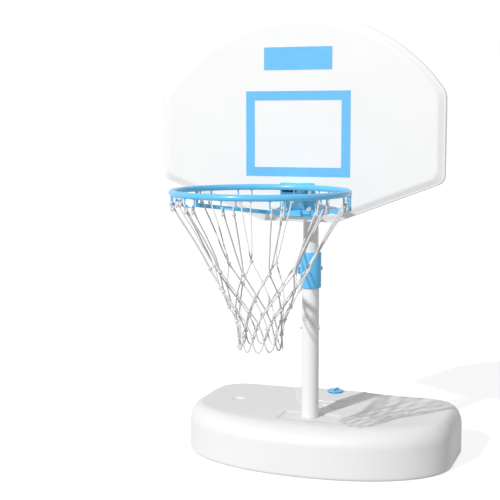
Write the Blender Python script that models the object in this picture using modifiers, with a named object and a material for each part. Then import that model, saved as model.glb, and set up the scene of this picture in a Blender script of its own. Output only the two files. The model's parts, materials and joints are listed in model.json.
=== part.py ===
"""Pool basketball hoop: a fillable base tank, a two-part telescoping post, a fan-shaped backboard, and
an 18 inch rim with hooks, a brace and a net.

Metres, +Z up. The origin is on the ground under the post's axis, the board faces -Y, and +X is to the
right of someone who faces the board.
"""

import math

import bmesh
import bpy
from mathutils import Matrix, Vector

# Clearances
GAP = 0.0003  # between pieces that rest on each other
HOLE_CLEARANCE = 0.0004  # radial, around a bolt's shank
SLIDE_CLEARANCE = 0.0004  # radial, between the upper post and what guides it
WELD_GAP = 0.0006  # between the ring and what is welded to it

# Base tank
TANK_WIDTH = 0.866
TANK_FRONT = 0.158  # from the post's axis to the foremost point of the front wall
TANK_BACK = 0.362
TANK_HEIGHT = 0.154
TANK_FULL_WIDTH_Y = 0.102  # where the curved front has reached the full width
TANK_FRONT_POWER = 2.1  # of the superellipse that the front follows; 2 is an ellipse
TANK_BACK_CORNER = 0.112
TANK_WALL = 0.0045
TANK_HEEL = 0.012  # height of the small slope round the bottom edge
SHOULDER_HEIGHT = 0.058  # from the top of the upright wall to the deck
SHOULDER_FRONT = 0.070
SHOULDER_SIDE = 0.036
SHOULDER_BACK = 0.026

# The deck's details
POCKET_HALF_WIDTH = 0.090  # of the shallow pocket that the post stands in
POCKET_FRONT = -0.062
POCKET_BACK = 0.030
POCKET_DEPTH = 0.004
WELL_FLOOR = 0.012
RELIEF_HEIGHT = 0.008  # of the raised panel that carries the fill cap
DIMPLE_X = 0.288
DIMPLE_Y = 0.129
DIMPLE_HALF_WIDTH = 0.022
DIMPLE_HALF_LENGTH = 0.0185
DIMPLE_DEPTH = 0.0055

# Right half of the raised panel's faceted front, at its foot and at its top, from the cap's axis
RELIEF_FOOT = ((0, -0.149), (0.055, -0.188), (0.092, -0.126), (0.155, 0.041))
RELIEF_CREST = ((0, -0.135), (0.064, -0.106), (0.070, -0.103), (0.103, 0.030))

# Fill cap
CAP_INSET = 0.070  # from the tank's back wall to the cap's axis
CAP_FLANGE = 0.004
CAP_OVERHANG = 0.0077  # of the flange, past the hole
CAP_SPIGOT_RADIUS = 0.0180
CAP_SPIGOT_LENGTH = 0.020
CAP_SPIGOT_CLEARANCE = 0.0008
CAP_WALL = 0.003
CAP_GRIP_HEIGHT = 0.005
CAP_GRIP_THICKNESS = 0.010
CAP_GRIP_MARGIN = 0.006  # between the grip's ends and the flange's edge
CAP_GRIP_TURN = math.radians(78)  # of the tightened cap's grip, from the tank's length
GASKET_THICKNESS = 0.002
GASKET_MARGIN = 0.001  # of the flange, past the seal

# Post
UPPER_POST_RADIUS = 0.0240
UPPER_POST_WALL = 0.0016
UPPER_POST_ABOVE_STRAP = 0.016
LOWER_POST_WALL = 0.0020
LOWER_POST_TOP = 0.645
POST_PLAY = 0.001  # radial, between the two tubes
POST_OVERLAP = 0.203  # of the upper tube in the lower one when it stands on the stop bolt
PLUG_FLANGE = 0.003
PLUG_SPIGOT = 0.018

# Clamp on the post
CLAMP_BELOW_JOINT = 0.085
CLAMP_ABOVE_JOINT = 0.025
CLAMP_WALL = 0.0057  # round the lower tube
CLAMP_EAR_INSET = 0.011  # of the ears' ends from the sleeve's ends
CLAMP_EAR_LENGTH = 0.023
CLAMP_EAR_HALF_WIDTH = 0.018
CLAMP_EAR_ROUNDING = 0.003
CLAMP_SLIT = 0.006
CLAMP_STUD_RADIUS = 0.004
KNOB_RADIUS = 0.0200
KNOB_LOBE = 0.0025  # by which the lobes stand out and the hollows lie in
KNOB_LOBES = 5
KNOB_THICKNESS = 0.020
KNOB_EDGE = 0.004  # of the slope round the knob's two faces, along its thickness
KNOB_NEAR_INSET = 0.003  # by which those slopes draw in the face at the sleeve
KNOB_FAR_INSET = 0.004  # and the outer face
KNOB_HUB_LENGTH = 0.012
KNOB_HUB_RADIUS = 0.0105
KNOB_BITE = 0.010  # of the stud in the knob

# Backboard: heights on it and on what it carries are from its lower edge
BOARD_BOTTOM = 0.775
BOARD_SETBACK = 0.141  # from the post's axis to the board's front face
BOARD_HALF_WIDTH = 0.434
BOARD_HEIGHT = 0.606
BOARD_ARCH_RISE = 0.230  # from where the arch leaves the upright sides to its top
BOARD_FLAT_HALF_WIDTH = 0.115  # of the level part of the lower edge
BOARD_SLANT = math.radians(21.0)
BOARD_FLAT_CORNER = 0.020
BOARD_LOWER_CORNER = 0.030
BOARD_UPPER_CORNER = 0.060
BOARD_UPPER_CORNER_SWEEP = math.radians(7.0)  # of the arch that the upper corner takes up
BOARD_BEVEL = 0.020
BOARD_DEPTH = 0.024
BOARD_SKIN = 0.0035
BOARD_EDGE_LAND = 0.001  # between the bevel and the upright edge, each way
BOARD_RIB = 0.004
BOARD_RIB_PITCH = 0.110
BOARD_RIB_RECESS = 0.006  # the ribs stop short of the board's back edge
PAD_HALF_WIDTH = 0.060
PAD_MARGIN = 0.016  # of the solid pads, above and below their fasteners

# Printed target and badge
TARGET_HALF_WIDTH = 0.160
TARGET_HEIGHT = 0.250
TARGET_UP = 0.134
TARGET_STROKE = 0.027
BADGE_HALF_WIDTH = 0.104
BADGE_HEIGHT = 0.066
BADGE_UP = 0.445
FILM = 0.0004

# Straps between post and board
STRAP_THICKNESS = 0.003
STRAP_HEIGHT = 0.080
STRAP_BEND = 0.004
STRAP_FLANGE_MARGIN = 0.015  # outside the fasteners
LOWER_STRAP_UP = 0.0655  # to its middle
UPPER_STRAP_UP = 0.315
FASTENER_X = 0.036
RIM_BOLT_SPACING = 0.051
BOARD_SCREW_SPACING = 0.044
BOARD_SCREW_RADIUS = 0.0025
BOARD_SCREW_BITE = 0.014

# Rim
RIM_RADIUS = 0.2366  # to the middle of the tube: 18 inches inside
RIM_TUBE_RADIUS = 0.0085
RIM_UP = 0.108
RIM_TO_BOARD = 0.084
BRACKET_PLATE = 0.003
BRACKET_HALF_WIDTH = 0.053
BRACKET_BELOW_RIM = 0.0925
BRACKET_ABOVE_RIM = 0.0085
TONGUE_HALF_WIDTH = 0.045
GUSSET_X = 0.024
GUSSET_DEPTH = 0.075  # at the plate
GUSSET_FRONT_DEPTH = 0.012
GUSSET_TO_RING = 0.003
WEB_SLOT = 0.010  # open between the web's front edge and the gussets' front
BRACE_ANGLE = math.radians(22.0)  # of its legs, behind the rim's widest points
BRACE_HEIGHT = 0.012
BRACE_THICKNESS = 0.004
BRACE_BEND = 0.012
BRACE_OUTSET = 0.0065  # of the legs, outside the middle of the rim's tube
BRACE_BELOW_RIM = 0.0465  # to the bar's middle, at the legs
BRACE_ABOVE_PLATE_END = 0.008  # to the bar's middle, at the bracket
BRACE_INSET = 0.0105  # of the bar's bends, inside the plate's sides
BRACE_LEG = 0.008
BRACE_LEG_STOP = 0.003  # from the legs' tops up to the middle of the ring
HOOK_COUNT = 12
HOOK_HALF_WIDTH = 0.020
HOOK_FOOT_HALF_WIDTH = 0.0140
HOOK_BEND_HALF_WIDTH = 0.0182  # where the legs turn into the foot
HOOK_BEND_RISE = 0.0018  # of that turn above the foot
HOOK_DROP = 0.020
HOOK_LEG = 0.014  # upright, under the ring
HOOK_WIRE_RADIUS = 0.002

# Net
NET_CORD = 0.0045
# Radius of each row of knots, and its drop below the hooks
NET_ROWS = ((0.136, 0.171), (0.109, 0.228), (0.086, 0.275), (0.068, 0.311), (0.060, 0.351))
NET_TIP_RADIUS = 0.061
NET_TIP_DROP = 0.391
NET_SAG = 0.004  # of the long top strands, towards the middle
NET_SPREAD = 0.0145  # of a hook's two strands, each side of its middle
NET_KNOT = 0.006  # width and height of the topmost knots

# Fasteners
BOLT_RADIUS = 0.004
HEAD_HEIGHT = 0.0050
HEAD_RADIUS = 0.0065
CARRIAGE_HEAD_RADIUS = 0.0090
NUT_RADIUS = 0.0075  # across the corners
NUT_HEIGHT = 0.0065
THREAD_END = 0.0020  # of a bolt that shows past its nut

# Sizes and places that follow from those above
LOWER_POST_RADIUS = UPPER_POST_RADIUS + POST_PLAY + LOWER_POST_WALL
LOWER_POST_BOTTOM = WELL_FLOOR + 2 * GAP + PLUG_FLANGE
UPPER_POST_BOTTOM = LOWER_POST_TOP - POST_OVERLAP
STOP_BOLT_Z = UPPER_POST_BOTTOM - 2 * GAP - PLUG_FLANGE - BOLT_RADIUS
WELL_RADIUS = LOWER_POST_RADIUS + HOLE_CLEARANCE
CAP_Y = TANK_BACK - CAP_INSET
FILL_HOLE_RADIUS = CAP_SPIGOT_RADIUS + CAP_SPIGOT_CLEARANCE
CAP_RADIUS = FILL_HOLE_RADIUS + CAP_OVERHANG
RELIEF_TOP = TANK_HEIGHT + RELIEF_HEIGHT
GASKET_TOP = RELIEF_TOP + GAP + GASKET_THICKNESS
CAP_TOP = GASKET_TOP + GAP + CAP_FLANGE
CLAMP_BOTTOM = LOWER_POST_TOP - CLAMP_BELOW_JOINT
CLAMP_TOP = LOWER_POST_TOP + CLAMP_ABOVE_JOINT
CLAMP_RADIUS = LOWER_POST_RADIUS + CLAMP_WALL
CLAMP_BOLT = (0, CLAMP_RADIUS + CLAMP_EAR_LENGTH / 2, (CLAMP_BOTTOM + CLAMP_TOP) / 2)
BOARD_TOP = BOARD_BOTTOM + BOARD_HEIGHT
BOARD_FRONT_Y = -BOARD_SETBACK
BOARD_BACK_Y = BOARD_FRONT_Y + BOARD_DEPTH
BRACKET_BACK_Y = BOARD_FRONT_Y - GAP
BRACKET_FRONT_Y = BRACKET_BACK_Y - BRACKET_PLATE
STRAP_FLANGE_Y = BOARD_BACK_Y + GAP + STRAP_THICKNESS / 2
STRAP_WRAP = UPPER_POST_RADIUS + SLIDE_CLEARANCE + STRAP_THICKNESS / 2
LOWER_STRAP_Z = BOARD_BOTTOM + LOWER_STRAP_UP
UPPER_STRAP_Z = BOARD_BOTTOM + UPPER_STRAP_UP
UPPER_POST_TOP = UPPER_STRAP_Z + STRAP_HEIGHT / 2 + UPPER_POST_ABOVE_STRAP
RIM_BOLT_ROWS = (LOWER_STRAP_Z - RIM_BOLT_SPACING / 2, LOWER_STRAP_Z + RIM_BOLT_SPACING / 2)
BOARD_SCREW_ROWS = (UPPER_STRAP_Z - BOARD_SCREW_SPACING / 2, UPPER_STRAP_Z + BOARD_SCREW_SPACING / 2)
RIM_Z = BOARD_BOTTOM + RIM_UP
RIM_CENTRE = Vector((0, BOARD_FRONT_Y - RIM_TO_BOARD - RIM_TUBE_RADIUS - RIM_RADIUS, RIM_Z))
RIM_UNDERSIDE = RIM_Z - RIM_TUBE_RADIUS
HOOK_LOW = RIM_UNDERSIDE - GAP - HOOK_DROP
NET_TOP = HOOK_LOW - HOOK_WIRE_RADIUS - GAP - NET_CORD / 2

ALONG_X = Matrix.Rotation(math.radians(90), 4, "Y")
ALONG_Y = Matrix.Rotation(math.radians(-90), 4, "X")
EDGE_ANGLE = math.radians(35)
MERGE = 0.00001  # distance within which points are one
LOOP_ANGLES = (-60, -30, 0, 30, 60)  # of the points along each of the net's lowest loops
LOOP_WIDTH = 0.9  # of those loops, as a share of the space between knots
HEEL_STEPS = ((0.7, 0.0), (0.2, 0.4), (0.0, 1.0))  # shares of the heel: drawn in, and up

PARTS = None
CUTTERS = None
PALETTE = {}


def clear_scene():
    """Removes every object that the file holds."""
    for item in list(bpy.data.objects):
        bpy.data.objects.remove(item, do_unlink=True)


def make_collection(name):
    """A collection linked to the scene."""
    made = bpy.data.collections.new(name)
    bpy.context.scene.collection.children.link(made)
    return made


def make_material(name, colour, roughness, metallic=0.0):
    """A Principled BSDF with one colour."""
    material = bpy.data.materials.new(name)
    material.use_nodes = True
    shader = material.node_tree.nodes["Principled BSDF"]
    shader.inputs["Base Color"].default_value = (*colour, 1.0)
    shader.inputs["Roughness"].default_value = roughness
    shader.inputs["Metallic"].default_value = metallic
    PALETTE[name] = material


def make_palette():
    """The hoop's finishes."""
    make_material("white_tank_plastic", (0.83, 0.83, 0.83), 0.45)
    make_material("white_board_plastic", (0.88, 0.88, 0.88), 0.35)
    make_material("white_paint", (0.84, 0.84, 0.84), 0.30)
    make_material("blue_paint", (0.10, 0.42, 0.83), 0.28)
    make_material("blue_plastic", (0.11, 0.44, 0.84), 0.38)
    make_material("blue_print", (0.17, 0.55, 0.93), 0.45)
    make_material("black_plastic", (0.03, 0.03, 0.03), 0.50)
    make_material("seal_rubber", (0.05, 0.05, 0.05), 0.75)
    make_material("zinc", (0.62, 0.63, 0.65), 0.32, 1.0)
    make_material("net_cord", (0.82, 0.82, 0.81), 0.85)


def add_object(name, data, finish=None, place=None):
    """Links a mesh or curve as a part with a finish, or as a cutter when no finish is given."""
    item = bpy.data.objects.new(name, data)
    if place:
        item.matrix_world = place
    if finish is None:
        CUTTERS.objects.link(item)
        item.hide_render = True
        item.display_type = "WIRE"
    else:
        PARTS.objects.link(item)
        data.materials.append(PALETTE[finish])
    return item


def shade(mesh):
    """Shades a mesh smooth where it is round and leaves its edges sharp."""
    mesh.shade_smooth()
    mesh.set_sharp_from_angle(angle=EDGE_ANGLE)


def mesh_object(name, shape, finish=None, place=None):
    """Turns a bmesh into an object whose faces point outwards."""
    bmesh.ops.recalc_face_normals(shape, faces=shape.faces)
    mesh = bpy.data.meshes.new(name)
    shape.to_mesh(mesh)
    shape.free()
    shade(mesh)
    return add_object(name, mesh, finish, place)


def evaluated_mesh(item):
    """A new mesh of an object with its modifiers or its curve's bevel made real."""
    bpy.context.view_layer.update()
    graph = bpy.context.evaluated_depsgraph_get()
    return bpy.data.meshes.new_from_object(item.evaluated_get(graph))


def block(name, low, high, finish=None, place=None):
    """A box between two corners."""
    low, high = Vector(low), Vector(high)
    shape = bmesh.new()
    bmesh.ops.create_cube(shape, size=1, matrix=Matrix.Diagonal((*(high - low), 1)))
    middle = Matrix.Translation((low + high) / 2)
    return mesh_object(name, shape, finish, place @ middle if place else middle)


def rod(name, radius, start, end, place=None, sides=24, finish=None):
    """A cylinder from start to end along Z, or along the axis that its place brings Z onto."""
    shape = bmesh.new()
    bmesh.ops.create_cone(
        shape,
        cap_ends=True,
        segments=sides,
        radius1=radius,
        radius2=radius,
        depth=end - start,
        matrix=Matrix.Translation((0, 0, (start + end) / 2)),
    )
    return mesh_object(name, shape, finish, place)


def loft(name, loops, finish=None, place=None):
    """A closed body through loops with the same number of points, with its first and last loops filled."""
    shape = bmesh.new()
    rings = [[shape.verts.new(point) for point in loop] for loop in loops]
    count = len(rings[0])
    for below, above in zip(rings, rings[1:]):
        for i in range(count):
            shape.faces.new((below[i], below[(i + 1) % count], above[(i + 1) % count], above[i]))
    shape.faces.new(rings[0])
    shape.faces.new(rings[-1])
    return mesh_object(name, shape, finish, place)


def flat_piece(name, outline, thickness, place, finish=None):
    """A flat plate from an outline of (x, y) points, half its thickness on each side of them."""
    curve = bpy.data.curves.new(name, "CURVE")
    curve.dimensions = "2D"
    curve.fill_mode = "BOTH"
    curve.extrude = thickness / 2
    spline = curve.splines.new("POLY")
    spline.use_cyclic_u = True
    spline.points.add(len(outline) - 1)
    for point, (x, y) in zip(spline.points, outline):
        point.co = (x, y, 0, 1)
    drawn = bpy.data.objects.new(name, curve)
    bpy.context.scene.collection.objects.link(drawn)
    shape = bmesh.new()
    shape.from_mesh(evaluated_mesh(drawn))
    bpy.data.objects.remove(drawn, do_unlink=True)
    bmesh.ops.remove_doubles(shape, verts=shape.verts, dist=MERGE)
    return mesh_object(name, shape, finish, place)


def turned(name, profile, finish, place=None, sides=24):
    """A closed turned shape from (radius, height) points that run down its outer side."""
    mesh = bpy.data.meshes.new(name)
    edges = [(i, i + 1) for i in range(len(profile) - 1)]
    if profile[0][0] > 0:
        edges.append((len(profile) - 1, 0))
    mesh.from_pydata([(r, 0, z) for r, z in profile], edges, [])
    item = add_object(name, mesh, finish, place)
    screw = item.modifiers.new("Turn", "SCREW")
    screw.axis = "Z"
    screw.steps = screw.render_steps = sides
    screw.use_merge_vertices = True
    screw.merge_threshold = MERGE
    item.data = evaluated_mesh(item)
    item.modifiers.clear()
    shade(item.data)
    return item


def boolean(target, tool, operation):
    """Adds an exact Boolean with a tool that is kept among the cutters."""
    modifier = target.modifiers.new(operation.title(), "BOOLEAN")
    modifier.operation = operation
    modifier.solver = "EXACT"
    modifier.object = tool
    if tool.name not in CUTTERS.objects:
        PARTS.objects.unlink(tool)
        CUTTERS.objects.link(tool)
        tool.hide_render = True
        tool.display_type = "WIRE"
    tool.parent = target
    tool.matrix_parent_inverse = target.matrix_world.inverted()


def cut(target, *tools):
    """Takes the tools away from the target."""
    for tool in tools:
        boolean(target, tool, "DIFFERENCE")


def join(target, *tools):
    """Adds the tools to the target."""
    for tool in tools:
        boolean(target, tool, "UNION")


def arc(centre, radius, start, end, steps):
    """Points of an arc, both ends included, with angles in degrees."""
    angles = [math.radians(start + (end - start) * i / steps) for i in range(steps + 1)]
    return [(centre[0] + radius * math.cos(a), centre[1] + radius * math.sin(a)) for a in angles]


def mirrored(half):
    """A closed outline from its right half, which runs from the middle line back to the middle line."""
    left = [(-x, y) for x, y in reversed(half) if x > 1e-6]
    return half + left


def rounded_path(points, radius, steps=3):
    """A path through the points with each inner corner rounded."""
    path = [Vector(points[0])]
    for before, corner, after in zip(points, points[1:], points[2:]):
        corner = Vector(corner)
        back = (Vector(before) - corner).normalized()
        ahead = (Vector(after) - corner).normalized()
        half = back.angle(ahead) / 2
        reach = radius / math.tan(half)
        middle = corner + (back + ahead).normalized() * radius / math.sin(half)
        first = (corner + back * reach - middle).normalized()
        last = (corner + ahead * reach - middle).normalized()
        for i in range(steps + 1):
            path.append(middle + radius * first.slerp(last, i / steps))
    path.append(Vector(points[-1]))
    return path


def strip(name, path, height, thickness, finish=None, ends=0.0):
    """A flat bar on edge, from a path at its lower edge, with its ends raised further."""
    shape = bmesh.new()
    lift = Vector((0, 0, height))
    low = [shape.verts.new(point) for point in path]
    high = [shape.verts.new(Vector(point) + lift) for point in path]
    for i in range(len(path) - 1):
        shape.faces.new((low[i], low[i + 1], high[i + 1], high[i]))
    if ends:
        for first, second in ((high[0], high[1]), (high[-2], high[-1])):
            rise = Vector((0, 0, ends - first.co.z))
            above = [shape.verts.new(corner.co + rise) for corner in (first, second)]
            shape.faces.new((first, second, above[1], above[0]))
    item = mesh_object(name, shape, finish)
    solidify = item.modifiers.new("Thickness", "SOLIDIFY")
    solidify.thickness = thickness
    solidify.offset = 0
    solidify.use_even_offset = True
    return item


def tank_outline(side, front, back, z):
    """The tank's plan drawn in by the given amounts at the sides, the front and the back."""
    half = TANK_WIDTH / 2 - side
    depth = TANK_FULL_WIDTH_Y + TANK_FRONT - front
    end = TANK_BACK - back
    corner = TANK_BACK_CORNER - min(side, back)
    steps = 13
    curve = []
    for i in range(steps + 1):
        angle = math.radians(90 * i / steps)
        x = half * math.sin(angle) ** (2 / TANK_FRONT_POWER)
        y = TANK_FULL_WIDTH_Y - depth * max(math.cos(angle), 0) ** (2 / TANK_FRONT_POWER)
        curve.append((x, y))
    curve += arc((half - corner, end - corner), corner, 0, 90, 5)
    return [(x, y, z) for x, y in mirrored(curve)]


def tank_loops(wall, steps):
    """The loops of the tank's skin drawn in by a wall, from the bottom to the deck."""
    top = TANK_HEIGHT - wall
    wall_top = TANK_HEIGHT - SHOULDER_HEIGHT
    loops = []
    for inward, up in HEEL_STEPS:
        inset_by = wall + TANK_HEEL * inward
        loops.append(tank_outline(inset_by, inset_by, inset_by, wall + TANK_HEEL * up))
    for i in range(steps + 1):
        angle = math.radians(90 * i / steps)
        inward = 1 - math.cos(angle)
        height = wall_top + (top - wall_top) * math.sin(angle)
        insets = [wall + width * inward for width in (SHOULDER_SIDE, SHOULDER_FRONT, SHOULDER_BACK)]
        loops.append(tank_outline(*insets, height))
    return loops


def dimple(name, side, growth):
    """A lens-shaped cutter for the finger dimple on one side of the deck."""
    radius = (DIMPLE_HALF_WIDTH**2 + DIMPLE_DEPTH**2) / (2 * DIMPLE_DEPTH)
    centre = (side * DIMPLE_X, DIMPLE_Y, TANK_HEIGHT + radius - DIMPLE_DEPTH)
    squeeze = Matrix.Diagonal((1, DIMPLE_HALF_LENGTH / DIMPLE_HALF_WIDTH, 1, 1))
    shape = bmesh.new()
    bmesh.ops.create_uvsphere(shape, u_segments=24, v_segments=32, radius=radius + growth, matrix=squeeze)
    return mesh_object(name, shape, place=Matrix.Translation(centre))


def relief_outline(half, z):
    """The raised panel's plan from its right half."""
    middle = (0, half[-1][1])
    return [(x, CAP_Y + y, z) for x, y in mirrored([*half, middle])]


def make_tank():
    """The hollow tank with its post well, pocket, dimples, raised panel and fill hole."""
    tank = loft("base_tank", tank_loops(0, 6), "white_tank_plastic")
    loops = [
        relief_outline(RELIEF_FOOT, TANK_HEIGHT - TANK_WALL / 2),
        relief_outline(RELIEF_FOOT, TANK_HEIGHT),
        relief_outline(RELIEF_CREST, RELIEF_TOP),
    ]
    join(tank, loft("relief_panel", loops))

    cavity = loft("tank_cavity", tank_loops(TANK_WALL, 4))
    cut(cavity, rod("well_column", WELL_RADIUS + TANK_WALL, -TANK_WALL, TANK_HEIGHT, sides=32))
    low = (-POCKET_HALF_WIDTH - TANK_WALL, POCKET_FRONT - TANK_WALL, TANK_HEIGHT - TANK_WALL - POCKET_DEPTH)
    high = (POCKET_HALF_WIDTH + TANK_WALL, POCKET_BACK + TANK_WALL, TANK_HEIGHT + GAP)
    cut(cavity, block("pocket_backing", low, high))
    cut(cavity, dimple("left_dimple_backing", -1, TANK_WALL), dimple("right_dimple_backing", 1, TANK_WALL))
    cut(tank, cavity)

    at_cap = Matrix.Translation((0, CAP_Y, 0))
    cut(tank, rod("fill_hole", FILL_HOLE_RADIUS, TANK_HEIGHT / 2, RELIEF_TOP + TANK_WALL, at_cap, 32))
    low = (-POCKET_HALF_WIDTH, POCKET_FRONT, TANK_HEIGHT - POCKET_DEPTH)
    high = (POCKET_HALF_WIDTH, POCKET_BACK, TANK_HEIGHT + TANK_WALL)
    cut(tank, block("post_pocket", low, high))
    cut(tank, rod("post_well", WELL_RADIUS, WELL_FLOOR, TANK_HEIGHT + TANK_WALL, sides=32))
    cut(tank, dimple("left_dimple", -1, 0), dimple("right_dimple", 1, 0))


def make_fill_cap():
    """The screw cap with its raised grip, and the flat seal under its flange."""
    at_cap = Matrix.Translation((0, CAP_Y, 0))
    under = GASKET_TOP + GAP
    foot = under - CAP_SPIGOT_LENGTH
    edge = CAP_FLANGE / 3
    inner = CAP_SPIGOT_RADIUS - CAP_WALL
    profile = [
        (0, CAP_TOP),
        (CAP_RADIUS - edge, CAP_TOP),
        (CAP_RADIUS, CAP_TOP - edge),
        (CAP_RADIUS, under),
        (CAP_SPIGOT_RADIUS, under),
        (CAP_SPIGOT_RADIUS, foot),
        (inner, foot),
        (inner, under),
        (0, under),
    ]
    cap = turned("fill_cap", profile, "blue_plastic", at_cap, 32)
    half = CAP_RADIUS - CAP_GRIP_MARGIN
    low = (-half, -CAP_GRIP_THICKNESS / 2, CAP_TOP - CAP_FLANGE / 2)
    high = (half, CAP_GRIP_THICKNESS / 2, CAP_TOP + CAP_GRIP_HEIGHT)
    grip = block("cap_grip", low, high, place=at_cap @ Matrix.Rotation(CAP_GRIP_TURN, 4, "Z"))
    round_edges(grip, CAP_GRIP_THICKNESS / 3)
    join(cap, grip)
    outer = CAP_RADIUS - GASKET_MARGIN
    inner = CAP_SPIGOT_RADIUS + GAP
    under = RELIEF_TOP + GAP
    section = [(outer, GASKET_TOP), (outer, under), (inner, under), (inner, GASKET_TOP)]
    turned("cap_gasket", section, "seal_rubber", at_cap, 32)


def make_tube(name, radius, wall, span, cross_holes):
    """A round post between two heights, with bolt holes across it along X at other heights."""
    bottom, top = span
    profile = [(radius, top), (radius, bottom), (radius - wall, bottom), (radius - wall, top)]
    tube = turned(name, profile, "white_paint", sides=32)
    for i, z in enumerate(cross_holes):
        at = Matrix.Translation((0, 0, z)) @ ALONG_X
        cut(tube, rod(f"{name}_hole_{i}", BOLT_RADIUS + HOLE_CLEARANCE, -2 * radius, 2 * radius, at, 16))


def make_plug(name, flange_radius, bore, end, upward):
    """A push-in tube plug: a flange across the tube's end and a spigot inside it."""
    way = 1 if upward else -1
    spigot = bore - GAP
    face = end - way * (GAP + PLUG_FLANGE)
    seat = end - way * GAP
    tip = end + way * PLUG_SPIGOT
    profile = [
        (0, face),
        (flange_radius, face),
        (flange_radius, seat),
        (spigot, seat),
        (spigot, tip),
        (0, tip),
    ]
    if upward:
        profile.reverse()
    turned(name, profile, "black_plastic", sides=32)


def make_posts():
    """The two tubes of the post with their plugs and the bolt that the upper one stands on."""
    lower_bore = LOWER_POST_RADIUS - LOWER_POST_WALL
    upper_bore = UPPER_POST_RADIUS - UPPER_POST_WALL
    span = (LOWER_POST_BOTTOM, LOWER_POST_TOP)
    make_tube("lower_post", LOWER_POST_RADIUS, LOWER_POST_WALL, span, [STOP_BOLT_Z])
    make_plug("lower_post_foot_plug", LOWER_POST_RADIUS, lower_bore, LOWER_POST_BOTTOM, True)
    span = (UPPER_POST_BOTTOM, UPPER_POST_TOP)
    make_tube("upper_post", UPPER_POST_RADIUS, UPPER_POST_WALL, span, [LOWER_STRAP_Z, UPPER_STRAP_Z])
    make_plug("upper_post_glide", lower_bore - SLIDE_CLEARANCE, upper_bore, UPPER_POST_BOTTOM, True)
    make_plug("upper_post_top_plug", UPPER_POST_RADIUS, upper_bore, UPPER_POST_TOP, False)
    bolt_across("stop", LOWER_POST_RADIUS, STOP_BOLT_Z)


def make_bolt(name, head, grip, place):
    """A dome-headed bolt: its head stands on height 0, and its shank runs down through the grip."""
    tip = -grip - NUT_HEIGHT - THREAD_END
    profile = [
        (0, HEAD_HEIGHT),
        (head * 0.5, HEAD_HEIGHT * 0.85),
        (head * 0.85, HEAD_HEIGHT * 0.5),
        (head, HEAD_HEIGHT * 0.2),
        (head, 0),
        (BOLT_RADIUS, 0),
        (BOLT_RADIUS, tip),
        (0, tip),
    ]
    turned(name, profile, "zinc", place, 16)


def make_nut(name, radius, place):
    """A hexagon nut that stands on height 0, round a bolt of the given radius."""
    nut = rod(name, NUT_RADIUS, 0, NUT_HEIGHT, place, 6, "zinc")
    cut(nut, rod(f"{name}_bore", radius + GAP, -GAP, NUT_HEIGHT + GAP, place, 16))


def bolt_across(name, half_grip, z):
    """A bolt along X through the post's axis with its head on the +X side and its nut on the -X side."""
    seat = half_grip + GAP
    at = Matrix.Translation((0, 0, z))
    make_bolt(f"{name}_bolt", HEAD_RADIUS, 2 * seat, at @ ALONG_X @ Matrix.Translation((0, 0, seat)))
    make_nut(f"{name}_nut", BOLT_RADIUS, at @ ALONG_X.inverted() @ Matrix.Translation((0, 0, seat)))


def round_edges(item, width):
    """Rounds every edge of a block."""
    bevel = item.modifiers.new("Edges", "BEVEL")
    bevel.width = width
    bevel.segments = 2


def make_clamp_sleeve():
    """The split sleeve round the joint of the two tubes, with an ear each side of its slit."""
    sleeve = rod("clamp_sleeve", CLAMP_RADIUS, CLAMP_BOTTOM, CLAMP_TOP, sides=40, finish="blue_plastic")
    low = (-CLAMP_EAR_HALF_WIDTH, 0, CLAMP_BOTTOM + CLAMP_EAR_INSET)
    high = (CLAMP_EAR_HALF_WIDTH, CLAMP_RADIUS + CLAMP_EAR_LENGTH, CLAMP_TOP - CLAMP_EAR_INSET)
    ears = block("clamp_ears", low, high)
    round_edges(ears, CLAMP_EAR_ROUNDING)
    join(sleeve, ears)
    bore = LOWER_POST_RADIUS + GAP
    cut(sleeve, rod("clamp_lower_bore", bore, CLAMP_BOTTOM - bore, LOWER_POST_TOP + GAP, sides=40))
    bore = UPPER_POST_RADIUS + SLIDE_CLEARANCE
    cut(sleeve, rod("clamp_upper_bore", bore, LOWER_POST_TOP, CLAMP_TOP + bore, sides=40))
    low = (-CLAMP_SLIT / 2, 0, CLAMP_BOTTOM - CLAMP_SLIT)
    high = (CLAMP_SLIT / 2, CLAMP_RADIUS + CLAMP_EAR_LENGTH + CLAMP_SLIT, CLAMP_TOP + CLAMP_SLIT)
    cut(sleeve, block("clamp_slit", low, high))
    hole = CLAMP_STUD_RADIUS + HOLE_CLEARANCE
    reach = 2 * CLAMP_EAR_HALF_WIDTH
    cut(sleeve, rod("clamp_stud_hole", hole, -reach, reach, Matrix.Translation(CLAMP_BOLT) @ ALONG_X, 16))


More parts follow.
